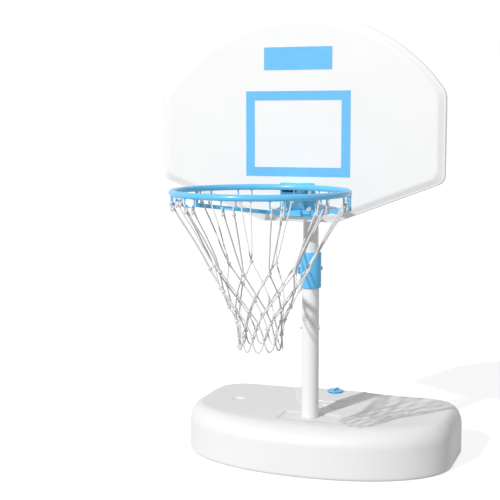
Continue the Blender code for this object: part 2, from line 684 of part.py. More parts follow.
def make_clamp_knob():
    """The lobed knob on its stud, and the nut that the stud pulls against."""
    outward = Matrix.Translation(CLAMP_BOLT) @ ALONG_X.inverted()
    seat = CLAMP_EAR_HALF_WIDTH + GAP
    face = seat + KNOB_HUB_LENGTH
    head = face + KNOB_BITE
    tail = -seat - NUT_HEIGHT - THREAD_END
    stud = [(0, head), (CLAMP_STUD_RADIUS, head), (CLAMP_STUD_RADIUS, tail), (0, tail)]
    turned("clamp_stud", stud, "zinc", outward, 16)
    far_side = Matrix.Translation(CLAMP_BOLT) @ ALONG_X @ Matrix.Translation((0, 0, seat))
    make_nut("clamp_nut", CLAMP_STUD_RADIUS, far_side)
    points = KNOB_LOBES * 6
    end = face + KNOB_THICKNESS
    sections = (
        (face, KNOB_NEAR_INSET),
        (face + KNOB_EDGE, 0),
        (end - KNOB_EDGE, 0),
        (end, KNOB_FAR_INSET),
    )
    loops = []
    for height, drawn_in in sections:
        loop = []
        for i in range(points):
            angle = 2 * math.pi * i / points
            r = KNOB_RADIUS + KNOB_LOBE * math.cos(KNOB_LOBES * angle) - drawn_in
            loop.append((r * math.cos(angle), r * math.sin(angle), height))
        loops.append(loop)
    knob = loft("clamp_knob", loops, "blue_plastic", outward)
    join(knob, rod("knob_hub", KNOB_HUB_RADIUS, seat, face + KNOB_BITE / 2, outward))
    cut(knob, rod("knob_bore", CLAMP_STUD_RADIUS + GAP, seat - GAP, head + GAP, outward, 16))


def board_outline():
    """The board's outer outline as (x, z) points, from the middle of its lower edge round and back."""
    radius = (BOARD_HALF_WIDTH**2 + BOARD_ARCH_RISE**2) / (2 * BOARD_ARCH_RISE)
    centre = (0, BOARD_TOP - radius)
    slope = math.tan(BOARD_SLANT)
    low = (BOARD_HALF_WIDTH, BOARD_BOTTOM + (BOARD_HALF_WIDTH - BOARD_FLAT_HALF_WIDTH) * slope)
    high = (BOARD_HALF_WIDTH, BOARD_TOP - BOARD_ARCH_RISE)
    spring = math.atan2(high[1] - centre[1], high[0]) + BOARD_UPPER_CORNER_SWEEP
    arch = arc(centre, radius, math.degrees(spring), 90, 12)
    corners = [(0, BOARD_BOTTOM, 0), (BOARD_FLAT_HALF_WIDTH, BOARD_BOTTOM, 0), (*low, 0), (*high, 0)]
    level = rounded_path([corners[0], corners[1], corners[2]], BOARD_FLAT_CORNER, 2)[:-1]
    lower = rounded_path([corners[1], corners[2], corners[3]], BOARD_LOWER_CORNER, 4)[1:-1]
    upper = rounded_path([corners[2], corners[3], (*arch[0], 0)], BOARD_UPPER_CORNER, 2)[1:-1]
    half = [(p.x, p.y) for p in level + lower + upper] + arch
    half[-1] = (0, BOARD_TOP)
    return mirrored(half)


def inset(outline, width):
    """A convex outline drawn in by a width along each point's own normal."""
    count = len(outline)
    drawn = []
    for i, point in enumerate(outline):
        before = Vector(outline[i - 1]) - Vector(point)
        after = Vector(outline[(i + 1) % count]) - Vector(point)
        tangent = (after.normalized() - before.normalized()).normalized()
        normal = Vector((-tangent.y, tangent.x))
        half = before.angle(after) / 2
        drawn.append(tuple(Vector(point) + normal * width / math.sin(half)))
    return drawn


def board_loop(outline, y):
    """An (x, z) outline stood up at a depth."""
    return [(x, y, z) for x, z in outline]


def make_board():
    """The backboard: a bevelled skin with ribs behind it and solid pads where the straps bolt on."""
    outline = board_outline()
    face = inset(outline, BOARD_BEVEL)
    bevel_end = BOARD_FRONT_Y + BOARD_BEVEL
    loops = [
        board_loop(face, BOARD_FRONT_Y),
        board_loop(inset(outline, BOARD_EDGE_LAND), bevel_end - BOARD_EDGE_LAND),
        board_loop(outline, bevel_end + BOARD_EDGE_LAND),
        board_loop(outline, BOARD_BACK_Y),
    ]
    board = loft("backboard", loops, "white_board_plastic")

    inner_front = BOARD_FRONT_Y + BOARD_SKIN
    hollow_loops = [
        board_loop(inset(face, BOARD_SKIN * 0.6), inner_front),
        board_loop(inset(outline, BOARD_SKIN * 1.2), bevel_end),
        board_loop(inset(outline, BOARD_SKIN * 1.2), BOARD_BACK_Y + BOARD_SKIN),
    ]
    hollow = loft("board_hollow", hollow_loops)
    back = BOARD_BACK_Y - BOARD_RIB_RECESS
    reach = BOARD_HALF_WIDTH + BOARD_BEVEL
    for i in range(-3, 4):
        x = i * BOARD_RIB_PITCH
        low = (x - BOARD_RIB / 2, BOARD_FRONT_Y - BOARD_RIB, BOARD_BOTTOM - BOARD_BEVEL)
        high = (x + BOARD_RIB / 2, back, BOARD_TOP + BOARD_BEVEL)
        cut(hollow, block(f"board_rib_up_{i + 4}", low, high))
    for i in range(5):
        z = BOARD_TOP - (i + 0.75) * BOARD_RIB_PITCH
        low = (-reach, BOARD_FRONT_Y - BOARD_RIB, z - BOARD_RIB / 2)
        high = (reach, back, z + BOARD_RIB / 2)
        cut(hollow, block(f"board_rib_across_{i + 1}", low, high))
    for name, rows in (("rim", RIM_BOLT_ROWS), ("strap", BOARD_SCREW_ROWS)):
        low = (-PAD_HALF_WIDTH, BOARD_FRONT_Y - BOARD_RIB, rows[0] - PAD_MARGIN)
        high = (PAD_HALF_WIDTH, BOARD_BACK_Y + 2 * BOARD_SKIN, rows[1] + PAD_MARGIN)
        cut(hollow, block(f"board_{name}_pad", low, high))
    cut(board, hollow)

    for side in (-1, 1):
        for row, z in enumerate(RIM_BOLT_ROWS):
            at = Matrix.Translation((side * FASTENER_X, BOARD_FRONT_Y, z)) @ ALONG_Y
            name = f"board_rim_hole_{side}_{row}"
            cut(board, rod(name, BOLT_RADIUS + HOLE_CLEARANCE, -BOARD_DEPTH, 2 * BOARD_DEPTH, at, 12))
        for row, z in enumerate(BOARD_SCREW_ROWS):
            at = Matrix.Translation((side * FASTENER_X, BOARD_BACK_Y, z)) @ ALONG_Y
            name = f"board_screw_hole_{side}_{row}"
            depth = BOARD_SCREW_BITE + 2 * GAP
            cut(board, rod(name, BOARD_SCREW_RADIUS + GAP, -depth, BOARD_DEPTH, at, 12))


def make_prints():
    """The printed target frame and the plain badge bar, as thin films on the board's face."""
    near = BOARD_FRONT_Y - GAP
    front = near - FILM
    bottom = BOARD_BOTTOM + TARGET_UP
    top = bottom + TARGET_HEIGHT
    target = block(
        "target_print", (-TARGET_HALF_WIDTH, front, bottom), (TARGET_HALF_WIDTH, near, top), "blue_print"
    )
    inside = TARGET_HALF_WIDTH - TARGET_STROKE
    low = (-inside, front - GAP, bottom + TARGET_STROKE)
    high = (inside, near + GAP, top - TARGET_STROKE)
    cut(target, block("target_window", low, high))
    bottom = BOARD_BOTTOM + BADGE_UP
    low = (-BADGE_HALF_WIDTH, front, bottom)
    high = (BADGE_HALF_WIDTH, near, bottom + BADGE_HEIGHT)
    block("badge_bar", low, high, "blue_print")


def make_strap(name, middle, rows, hole):
    """A steel strap that wraps the post and has a flange each side against the board."""
    bottom = middle - STRAP_HEIGHT / 2
    end = FASTENER_X + STRAP_FLANGE_MARGIN
    corners = [
        (-end, STRAP_FLANGE_Y, bottom),
        (-STRAP_WRAP, STRAP_FLANGE_Y, bottom),
        (-STRAP_WRAP, STRAP_WRAP, bottom),
        (STRAP_WRAP, STRAP_WRAP, bottom),
        (STRAP_WRAP, STRAP_FLANGE_Y, bottom),
        (end, STRAP_FLANGE_Y, bottom),
    ]
    strap = strip(name, rounded_path(corners, STRAP_BEND, 2), STRAP_HEIGHT, STRAP_THICKNESS, "white_paint")
    reach = 2 * STRAP_THICKNESS
    for side in (-1, 1):
        for row, z in enumerate(rows):
            at = Matrix.Translation((side * FASTENER_X, STRAP_FLANGE_Y, z)) @ ALONG_Y
            cut(strap, rod(f"{name}_hole_{side}_{row}", hole, -reach, reach, at, 12))
    reach = 2 * STRAP_WRAP
    across = Matrix.Translation((0, 0, middle)) @ ALONG_X
    cut(strap, rod(f"{name}_cross_hole", BOLT_RADIUS + HOLE_CLEARANCE, -reach, reach, across, 12))
    bolt_across(name, STRAP_WRAP + STRAP_THICKNESS / 2, middle)


def make_straps():
    """Both straps, the bolts that also hold the rim, and the screws into the board's upper pad."""
    make_strap("lower_strap", LOWER_STRAP_Z, RIM_BOLT_ROWS, BOLT_RADIUS + HOLE_CLEARANCE)
    make_strap("upper_strap", UPPER_STRAP_Z, BOARD_SCREW_ROWS, BOARD_SCREW_RADIUS + HOLE_CLEARANCE)
    front = BRACKET_FRONT_Y - GAP
    back = STRAP_FLANGE_Y + STRAP_THICKNESS / 2 + GAP
    for side, x in (("left", -FASTENER_X), ("right", FASTENER_X)):
        for row, bolt_z, screw_z in zip(("lower", "upper"), RIM_BOLT_ROWS, BOARD_SCREW_ROWS):
            at = Matrix.Translation((x, front, bolt_z)) @ ALONG_Y.inverted()
            make_bolt(f"rim_bolt_{row}_{side}", CARRIAGE_HEAD_RADIUS, back - front, at)
            make_nut(f"rim_nut_{row}_{side}", BOLT_RADIUS, Matrix.Translation((x, back, bolt_z)) @ ALONG_Y)
            make_screw(f"board_screw_{row}_{side}", x, back, screw_z)


def make_screw(name, x, seat, z):
    """A pan-headed screw from behind, through the strap into the board."""
    tip = BOARD_BACK_Y - BOARD_SCREW_BITE
    at = Matrix.Translation((x, seat, z)) @ ALONG_Y
    radius = BOARD_SCREW_RADIUS
    head = 2.1 * radius
    end = tip - seat
    profile = [
        (0, radius * 1.2),
        (head * 0.8, radius),
        (head, radius * 0.4),
        (head, 0),
        (radius, 0),
        (radius, end),
        (0, end),
    ]
    turned(name, profile, "zinc", at, 12)


def on_rim(angle, outset, z):
    """A point at an angle round the rim, outside the middle of its tube."""
    reach = RIM_RADIUS + outset
    return Vector((RIM_CENTRE.x + reach * math.cos(angle), RIM_CENTRE.y + reach * math.sin(angle), z))


def ring(name, tube_radius, finish=None):
    """A ring in the rim's place with the given tube radius."""
    section = arc((RIM_RADIUS, 0), tube_radius, 90, -240, 11)
    return turned(name, section, finish, Matrix.Translation(RIM_CENTRE), 72)


def make_rim_ring():
    """The steel ring."""
    ring("rim_ring", RIM_TUBE_RADIUS, "blue_paint")


def make_rim_bracket():
    """The welded bracket: a back plate, a tongue that meets the ring, two gussets and a sloping web."""
    bottom = RIM_Z - BRACKET_BELOW_RIM
    top = RIM_Z + BRACKET_ABOVE_RIM
    low = (-BRACKET_HALF_WIDTH, BRACKET_FRONT_Y, bottom)
    bracket = block("rim_bracket", low, (BRACKET_HALF_WIDTH, BRACKET_BACK_Y, top), "blue_paint")
    half = BRACKET_PLATE / 2
    root = BRACKET_FRONT_Y + half
    rim_back = RIM_CENTRE.y + RIM_RADIUS
    low = (-TONGUE_HALF_WIDTH, rim_back, RIM_Z - half)
    join(bracket, block("bracket_tongue", low, (TONGUE_HALF_WIDTH, root, RIM_Z + half)))

    nose = rim_back + RIM_TUBE_RADIUS + GUSSET_TO_RING
    foot = RIM_Z - GUSSET_DEPTH
    lip = RIM_Z - GUSSET_FRONT_DEPTH
    gusset = [(root, foot), (root, RIM_Z), (nose, RIM_Z), (nose, lip)]
    upright = Matrix(((0, 0, 1, 0), (1, 0, 0, 0), (0, 1, 0, 0), (0, 0, 0, 1)))
    for name, x in (("left_gusset", -GUSSET_X), ("right_gusset", GUSSET_X)):
        join(bracket, flat_piece(name, gusset, BRACKET_PLATE, Matrix.Translation((x, 0, 0)) @ upright))
    start = Vector((root, foot + BRACKET_PLATE))
    run = Vector((nose, lip + BRACKET_PLATE)) - start
    end = start + run * (1 - WEB_SLOT / run.length)
    across = run.orthogonal().normalized() * half
    web = [start - across, end - across, end + across, start + across]
    join(bracket, flat_piece("sloping_web", web, 2 * GUSSET_X, upright))

    reach = RIM_RADIUS + RIM_TUBE_RADIUS + WELD_GAP
    at_rim = Matrix.Translation((RIM_CENTRE.x, RIM_CENTRE.y, 0))
    cut(bracket, rod("ring_clearance", reach, bottom, top, at_rim, 96))
    reach = 2 * BRACKET_PLATE
    for side in (-1, 1):
        for row, z in enumerate(RIM_BOLT_ROWS):
            at = Matrix.Translation((side * FASTENER_X, BRACKET_FRONT_Y, z)) @ ALONG_Y
            hole = rod(f"bracket_hole_{side}_{row}", BOLT_RADIUS + HOLE_CLEARANCE, -reach, reach, at, 12)
            cut(bracket, hole)


def make_rim_brace():
    """The flat bar that runs from one side of the ring, under the bracket's front, to the other side."""
    half = BRACKET_HALF_WIDTH - BRACE_INSET
    front = BRACKET_FRONT_Y - GAP - BRACE_THICKNESS / 2
    low_at_plate = RIM_Z - BRACKET_BELOW_RIM + BRACE_ABOVE_PLATE_END - BRACE_HEIGHT / 2
    low_at_leg = RIM_Z - BRACE_BELOW_RIM - BRACE_HEIGHT / 2
    left = on_rim(math.pi - BRACE_ANGLE, BRACE_OUTSET, low_at_leg)
    right = on_rim(BRACE_ANGLE, BRACE_OUTSET, low_at_leg)
    path = rounded_path(
        [left, (-half, front, low_at_plate), (half, front, low_at_plate), right], BRACE_BEND, 3
    )
    path.insert(1, left + (path[1] - left).normalized() * BRACE_LEG)
    path.insert(-1, right + (path[-2] - right).normalized() * BRACE_LEG)
    brace = strip("rim_brace", path, BRACE_HEIGHT, BRACE_THICKNESS, "blue_paint", RIM_Z - BRACE_LEG_STOP)
    cut(brace, ring("brace_saddle", RIM_TUBE_RADIUS + WELD_GAP))


def make_hooks():
    """The wire net hooks, evenly spaced under the ring."""
    top = RIM_UNDERSIDE - GAP
    half = [
        (HOOK_HALF_WIDTH, top),
        (HOOK_HALF_WIDTH, top - HOOK_LEG),
        (HOOK_BEND_HALF_WIDTH, HOOK_LOW + HOOK_BEND_RISE),
        (HOOK_FOOT_HALF_WIDTH, HOOK_LOW),
    ]
    shape = [(-u, z) for u, z in half] + [(u, z) for u, z in reversed(half)]
    for i in range(HOOK_COUNT):
        angle = 2 * math.pi * i / HOOK_COUNT
        curve = bpy.data.curves.new(f"net_hook_{i + 1:02d}", "CURVE")
        curve.dimensions = "3D"
        curve.bevel_depth = HOOK_WIRE_RADIUS
        curve.bevel_resolution = 1
        curve.use_fill_caps = True
        spline = curve.splines.new("POLY")
        spline.points.add(len(shape) - 1)
        tangent = Vector((-math.sin(angle), math.cos(angle), 0))
        middle = on_rim(angle, 0, 0)
        for point, (u, z) in zip(spline.points, shape):
            point.co = (*(middle + tangent * u + Vector((0, 0, z))), 1)
        add_object(curve.name, curve, "blue_paint")


def net_point(step, radius, z, aside=0.0):
    """A point of the net, with step counted in half spaces between hooks, and moved aside along the rim."""
    angle = math.pi * step / HOOK_COUNT
    point = Vector((RIM_CENTRE.x + radius * math.cos(angle), RIM_CENTRE.y + radius * math.sin(angle), z))
    return point + aside * Vector((-math.sin(angle), math.cos(angle), 0))


def beside(row, i):
    """The knots of the next row down that a knot's two strands run to."""
    first = (i - row % 2) % HOOK_COUNT
    return first, (first + 1) % HOOK_COUNT


def make_net():
    """The net: two strands from each hook to the knot under it, a diamond mesh, and a row of loops."""
    shape = bmesh.new()
    knots = [None, None]
    for row, (radius, drop) in enumerate(NET_ROWS[1:], 2):
        steps = [2 * i + (row + 1) % 2 for i in range(HOOK_COUNT)]
        knots.append([shape.verts.new(net_point(step, radius, NET_TOP - drop)) for step in steps])

    first_radius, first_drop = NET_ROWS[0]
    sag_radius = (RIM_RADIUS + first_radius) / 2 - NET_SAG
    half = NET_KNOT / 2
    for i in range(HOOK_COUNT):
        sides = []
        for way in (-1, 1):
            top = net_point(2 * i, RIM_RADIUS, NET_TOP, way * NET_SPREAD)
            middle = net_point(2 * i, sag_radius, NET_TOP - first_drop / 2, way * (NET_SPREAD + half) / 2)
            over = net_point(2 * i, first_radius, NET_TOP - first_drop + half, way * half)
            under = net_point(2 * i, first_radius, NET_TOP - first_drop - half, way * half)
            sides.append([shape.verts.new(point) for point in (top, middle, over, under)])
        left, right = sides
        shape.faces.new((left[0], left[1], left[2], right[2], right[1], right[0]))
        shape.faces.new((left[2], left[3], right[3], right[2]))
        before, after = beside(1, i)
        shape.faces.new((left[3], knots[2][before], knots[3][i], knots[2][after], right[3]))
    last = len(NET_ROWS)
    for row in range(2, last - 1):
        for i in range(HOOK_COUNT):
            before, after = beside(row, i)
            shape.faces.new((knots[row][i], knots[row + 1][before], knots[row + 2][i], knots[row + 1][after]))

    radius, drop = NET_ROWS[-1]
    for i in range(HOOK_COUNT):
        before, after = beside(last - 1, i)
        loop = []
        for angle in LOOP_ANGLES:
            share = math.cos(math.radians(angle))
            step = 2 * i + last % 2 + math.sin(math.radians(angle)) * LOOP_WIDTH
            fall = drop + (NET_TIP_DROP - drop) * share
            loop.append(shape.verts.new(net_point(step, radius + (NET_TIP_RADIUS - radius) * share, NET_TOP - fall)))
        shape.faces.new((knots[last - 1][i], knots[last][before], *loop, knots[last][after]))
    net = mesh_object("net", shape, "net_cord")
    lattice = net.modifiers.new("Cords", "WIREFRAME")
    lattice.thickness = NET_CORD
    lattice.use_even_offset = False
    lattice.use_relative_offset = False
    lattice.use_boundary = True
    lattice.use_replace = True


def hang_on(name, place, names):
    """Parents moving pieces to an empty on their joint's axis."""
    empty = bpy.data.objects.new(name, None)
    empty.location = place
    PARTS.objects.link(empty)
    bpy.context.view_layer.update()
    for piece in names:
        item = PARTS.objects[piece]
        item.parent = empty
        item.matrix_parent_inverse = empty.matrix_world.inverted()


def group_moving_pieces():
    """The sliding upper half, the clamp's knob and the fill cap, each on its own empty."""
    fixed = (
        "base_tank",
        "lower_post",
        "lower_post_foot_plug",
        "stop_bolt",
        "stop_nut",
        "clamp_sleeve",
        "clamp_nut",
    )
    knob = ("clamp_knob", "clamp_stud")
    cap = ("fill_cap", "cap_gasket")
    moving = [item.name for item in PARTS.objects if item.name not in (*fixed, *knob, *cap)]
    hang_on("height_slide", (0, 0, UPPER_POST_BOTTOM), moving)
    hang_on("knob_turn", CLAMP_BOLT, knob)
    hang_on("cap_turn", (0, CAP_Y, RELIEF_TOP), cap)


def main():
    """Builds the whole hoop."""
    global PARTS, CUTTERS
    clear_scene()
    PARTS = make_collection("pool_basketball_hoop")
    CUTTERS = make_collection("cutters")
    make_palette()
    make_tank()
    make_fill_cap()
    make_posts()
    make_clamp_sleeve()
    make_clamp_knob()
    make_board()
    make_prints()
    make_straps()
    make_rim_ring()
    make_rim_bracket()
    make_rim_brace()
    make_hooks()
    make_net()
    group_moving_pieces()


main()
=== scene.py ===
"""Finished surfaces of a pool basketball hoop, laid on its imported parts.

Metres, +Z up. The board faces -Y, and +X is to the right of someone who faces it.
"""

import json
import math

import bmesh
import bpy
from mathutils import Matrix, Vector


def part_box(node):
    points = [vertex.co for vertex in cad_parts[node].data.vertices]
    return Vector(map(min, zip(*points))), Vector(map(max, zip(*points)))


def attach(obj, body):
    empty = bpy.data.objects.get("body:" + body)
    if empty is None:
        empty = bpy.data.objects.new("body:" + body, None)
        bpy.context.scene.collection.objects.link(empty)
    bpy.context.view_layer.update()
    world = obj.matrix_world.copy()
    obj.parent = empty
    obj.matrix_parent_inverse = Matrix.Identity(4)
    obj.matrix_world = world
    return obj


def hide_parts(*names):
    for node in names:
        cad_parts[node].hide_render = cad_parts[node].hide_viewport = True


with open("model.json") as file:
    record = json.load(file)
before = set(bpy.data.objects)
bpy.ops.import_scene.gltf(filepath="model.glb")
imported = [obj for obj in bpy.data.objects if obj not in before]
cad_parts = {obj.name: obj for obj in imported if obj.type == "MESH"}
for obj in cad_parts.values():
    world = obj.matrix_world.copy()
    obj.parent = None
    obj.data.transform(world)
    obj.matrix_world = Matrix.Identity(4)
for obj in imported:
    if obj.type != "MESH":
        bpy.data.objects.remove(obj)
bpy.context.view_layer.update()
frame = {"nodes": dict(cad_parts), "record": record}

MERGE = 0.00001  # distance within which points are one
MIDDLE = 0.000001  # distance within which a point is on the middle line
GAP = 0.0003  # between pieces that rest on each other
CUT = 0.001  # by which a small cutting tool reaches past a face
LONG_CUT = 0.01  # by which a large one reaches past it

# Tank
TANK_FULL_WIDTH_Y = 0.102  # where the curved front has reached the full width
TANK_FRONT_POWER = 2.1  # of the front's flattened ellipse
TANK_BACK_CORNER = 0.112
TANK_HEIGHT = 0.154
TANK_WALL = 0.0045
TANK_HEEL = 0.012
HEEL_TUCK = 0.7  # how far the underside is drawn in, as a share of the heel
SHOULDER_HEIGHT = 0.058
SHOULDER_FRONT = 0.070
SHOULDER_SIDE = 0.036
SHOULDER_BACK = 0.026
HEEL_STEPS = 6
WALL_STEPS = 4
SHOULDER_STEPS = 18
PLAN_FRONT_STEPS = 48
PLAN_CORNER_STEPS = 16
DECK_CELL = 0.006
DECK_MARGIN = 0.004  # between the deck's grid and the shoulder
DETAIL_MARGIN = 0.006  # of finer grid round each of the deck's details
DIMPLE_MARGIN = 0.005  # of the finest grid round a dimple
HOLE_MARGIN = 0.0022  # of grid taken away round a hole
HOLE_REACH = 0.012  # beyond a hole's edge, within which an open edge belongs to it
HOLE_SIDES = 64
POCKET_HALF_WIDTH = 0.090
POCKET_FRONT = -0.062
POCKET_BACK = 0.030
POCKET_DEPTH = 0.004
POCKET_CORNER = 0.008
POCKET_LIP = 0.0015  # by which the pocket's slope starts outside its outline
POCKET_SLOPE = 0.004  # width of that slope
WELL_FLOOR = 0.012
WELL_CLEARANCE = 0.0004
DIMPLE_X = 0.288
DIMPLE_Y = 0.129
DIMPLE_HALF_WIDTH = 0.022
DIMPLE_HALF_LENGTH = 0.0185
DIMPLE_DEPTH = 0.0055
DIMPLE_LIP = 1.06  # where a dimple's slope starts, in half widths
DIMPLE_SLOPE = 0.42  # width of that slope, in half widths
PANEL_HEIGHT = 0.008
PANEL_STEP = 0.0018  # upright edge round the panel's foot, and another round its crest
PANEL_CREASE = 0.0005
PANEL_FACET = math.radians(2.5)  # creases sharper than this stay crisp
# Right half of the raised panel, at its foot and at its crest, from the cap's axis
PANEL_FOOT = ((0, -0.149), (0.055, -0.188), (0.092, -0.126), (0.155, 0.041), (0, 0.041))
PANEL_CREST = ((0, -0.135), (0.064, -0.106), (0.070, -0.103), (0.103, 0.030), (0, 0.030))
FILL_HOLE_RADIUS = 0.0188

# Post
POST_WALL = 0.0020
UPPER_POST_WALL = 0.0016
TUBE_EDGE = 0.0005  # rounding of a tube's rims
TUBE_EDGE_SOFTENING = 0.0003
TUBE_SIDES = 96
SLIDE_CLEARANCE = 0.0004
PLUG_DISH_DEPTH = 0.0004
PLUG_DISH_FLOOR = 0.55  # radius of the floor of the dish, and of its rim, as shares of the bore
PLUG_DISH_RIM = 0.62
PLUG_EDGE = 0.0012
PLUG_TIP = 0.001

# Clamp
CLAMP_EDGE = 0.0012
CLAMP_CUT_EDGE = 0.0005  # rounding of the edges that the bores and the slit leave
CLAMP_EAR_INSET = 0.011
CLAMP_EAR_HALF_WIDTH = 0.018
CLAMP_EAR_ROUNDING = 0.003
CLAMP_SLIT = 0.006
STUD_RADIUS = 0.004
STUD_TIP = 0.0006
STUD_THREADED = 0.012
STUD_HOLE_REACH = 0.04
KNOB_RADIUS = 0.0222
KNOB_LOBES = 5
KNOB_SCALLOP = 0.0105  # radius of the hollows between the lobes
KNOB_SCALLOP_OUTSET = 0.62  # of the hollows' axes from the knob's outline, in their radii
KNOB_ROUNDING = 0.0022
# Radius and height over the knob's face of the tool that cuts its dish
KNOB_DISH = ((0, -0.0012), (0.0095, -0.0012), (0.0115, CUT), (0, CUT))
KNOB_HUB_RADIUS = 0.0105
KNOB_HUB_LENGTH = 0.012
KNOB_HUB_EDGE = 0.0008
KNOB_HUB_OVERLAP = 0.002

# Fasteners
BOLT_RADIUS = 0.004
BOLT_THREADED = 0.35  # share of a bolt's shank
THREAD_PITCH = 0.00125
THREAD_DEPTH = 0.00055
THREAD_CREST = 0.15  # where a ridge ends, and where the groove after it lies, as shares of a turn
THREAD_ROOT = 0.65
HEAD_HEIGHT = 0.0050
HEAD_SKIRT = 0.2  # upright share of a bolt head's height
HEAD_STEPS = 8
NUT_RADIUS = 0.0075
NUT_CHAMFER = 0.0007
NUT_TURNING = 0.0002  # by which the tool that turns the chamfers is wider than the nut
SCREW_HEAD = 2.1  # radius of a screw's head, in shank radii
SCREW_HEAD_HEIGHT = 1.2  # in shank radii
SCREW_DOME = ((0.55, 0.95), (0.85, 0.66), (1, 0.3))  # radius and height, as shares of the head's
SCREW_NECK = 0.25  # plain share of a screw's shank
SCREW_CROSS = (0.55, 0.11)  # half length and half width of a slot, in head radii
SCREW_CROSS_DEPTH = (0.45, 1.5)  # floor and top of the tool that cuts a slot, in head heights

# Fill cap
CAP_SPIGOT_RADIUS = 0.0180
CAP_WALL = 0.003
CAP_FLANGE = 0.004
CAP_DISC = 0.80  # radius of the raised disc, and of its foot, as shares of the cap's
CAP_DISC_FOOT = 0.83
CAP_DISC_RISE = 0.0005
CAP_EDGE = 0.0012
CAP_EDGE_BEND = 0.3  # how far the middle of that edge is drawn in, as a share of it
CAP_LOWER_EDGE = 0.0004
CAP_THREADS = 4
CAP_THREAD_DEPTH = 0.0008
CAP_THREAD_START = 0.002
CAP_THREAD_END = 0.003
CAP_THREAD_TURN = ((1, 0), (1, 0.45), (0, 0.6), (0, 0.85))  # depth and place of each point of a turn
CAP_NOTCHES = 40
CAP_NOTCH_RADIUS = 0.0009
CAP_NOTCH_OUTSET = 0.0003
CAP_GRIP_THICKNESS = 0.010
CAP_GRIP_MARGIN = 0.006
CAP_GRIP_SINK = 0.002
CAP_GRIP_ROUNDING = 0.00275
CAP_GRIP_TURN = math.radians(78)  # of the grip at rest, from the tank's length
SEAL_EDGE = 0.0004

# Board
BOARD_ARCH_RISE = 0.230
BOARD_FLAT_HALF_WIDTH = 0.115
BOARD_SLANT = math.radians(21.0)
BOARD_FLAT_CORNER = 0.045
BOARD_LOWER_CORNER = 0.030
BOARD_UPPER_CORNER = 0.060
BOARD_UPPER_CORNER_SWEEP = math.radians(7.0)
BOARD_BEVEL = 0.021
BOARD_BEVEL_DEPTH = 0.0094
BOARD_BEVEL_SOFTENING = 0.020  # by which the corners of the face are rounder than the outline's
BOARD_LIP = 0.0042  # rounding of the lip at the bevel's foot
BOARD_LIP_STEPS = 4
BOARD_EDGE = 0.0011
BOARD_SKIN = 0.0035
BOARD_WALL = 0.0042
BOARD_FOOT_SKIN = 0.0045  # from the bevel's foot to the tray's inside
# Rings at the face's soft edge, outside and inside the tray: how far inside the bevel, and behind the face
BOARD_FACE_EDGE = ((0.0070, 0), (0.0030, 0.0003), (-0.0005, 0.0012), (-0.0035, 0.0025))
BOARD_INSIDE_EDGE = ((0.0020, 0.00455), (0.0080, BOARD_SKIN))
# Rings at the bevel's foot: how far inside the lip, and behind the foot
BOARD_FOOT_EDGE = ((0.0022, -0.0004), (0.0012, 0))
BOARD_RIB = 0.004
BOARD_RIB_EDGE = 0.0007
BOARD_RIB_PITCH = 0.110
BOARD_RIB_RECESS = 0.006
BOARD_SIDE_RIBS = 3  # upright ribs each side of the middle one
BOARD_LEVEL_RIBS = 5
BOARD_FIRST_RIB = 0.75  # of the level ribs, under the board's top, in rib pitches
# The space that the ribs are cut to: how far in, and how far behind, at the face, the foot and the wall
RIB_SPACE_FACE = (0.0075, 0.0006)
RIB_SPACE_FOOT = (0.0048, 0.0012)
RIB_SPACE_WALL = (0.0008, 0.0040)
PAD_HALF_WIDTH = 0.060
PAD_MARGIN = 0.016

# Straps
STRAP_THICKNESS = 0.003
STRAP_BEND = 0.004
STRAP_EDGE = 0.0006

# Rim
RING_SECTION = 24  # points round the ring's tube
RING_SIDES = 192
TOOL_RING_SIDES = 128  # of the rings and the cylinder that cut the bracket and the brace
MOUTH_REACH = 0.1  # of that cylinder above and below the rim
BRACKET_PLATE = 0.003
BRACKET_CORNER = 0.006
BRACKET_EDGE = 0.0006
TONGUE_HALF_WIDTH = 0.045
GUSSET_X = 0.024
GUSSET_DEPTH = 0.075
GUSSET_FRONT_DEPTH = 0.012
GUSSET_TO_RING = 0.003
WEB_SLOT = 0.010
WELD_GAP = 0.0006
WELD_RADIUS = 0.0018
WELD_PITCH = 0.0019
WELD_TILT = 0.35
WELD_DROP = (1.0, 1.05, 0.8, 1)  # a drop's stretch along, across and out of the weld
WELD_OUTSET = 0.0006  # of a weld's middle from the faces that it joins
WELD_INSET = 0.004  # of a weld's ends from the ends of a plate
RIM_WELD_SINK = 0.0002
RIM_WELD_STEPS = 8
BRACE_ANGLE = math.radians(22.0)
BRACE_HEIGHT = 0.012
BRACE_THICKNESS = 0.004
BRACE_BEND = 0.012
BRACE_OUTSET = 0.0065
BRACE_BELOW_RIM = 0.0465
BRACE_ABOVE_PLATE_END = 0.008
BRACE_INSET = 0.0105
BRACE_EDGE = 0.0005
BRACE_LEG = 0.008
BRACE_LEG_BELOW_RIM = 0.003
BRACE_WELD_BELOW_RIM = 0.0068
HOOK_COUNT = 12
HOOK_BEND = 0.006
HOOK_WELD_RADIUS = 0.0026
HOOK_WELD_HALF_LENGTH = 0.0019
HOOK_WELD_RISE = 0.0004

# Net
NET_CORD = 0.0045
CORD_SIDES = 8
BRAID_PITCH = 0.0045  # length in which a yarn goes once round the cord
# Radius of each row of knots, and its drop below the hooks
NET_ROWS = ((0.136, 0.171), (0.109, 0.228), (0.086, 0.275), (0.068, 0.311), (0.060, 0.351))
NET_TIP_RADIUS = 0.061
NET_TIP_DROP = 0.391
NET_SAG = 0.004
NET_SPREAD = 0.0145  # of a hook's two strands, each side of its middle
NET_SLACK = 0.007  # how far the hanging cords stray from their even pattern
SLACK_START = 0.02  # below the hooks, from where the slack sets in
SLACK_FADE = 0.12  # drop over which it grows to its full amount
SLACK_SCALE = 0.055  # of the clouds that move the cords
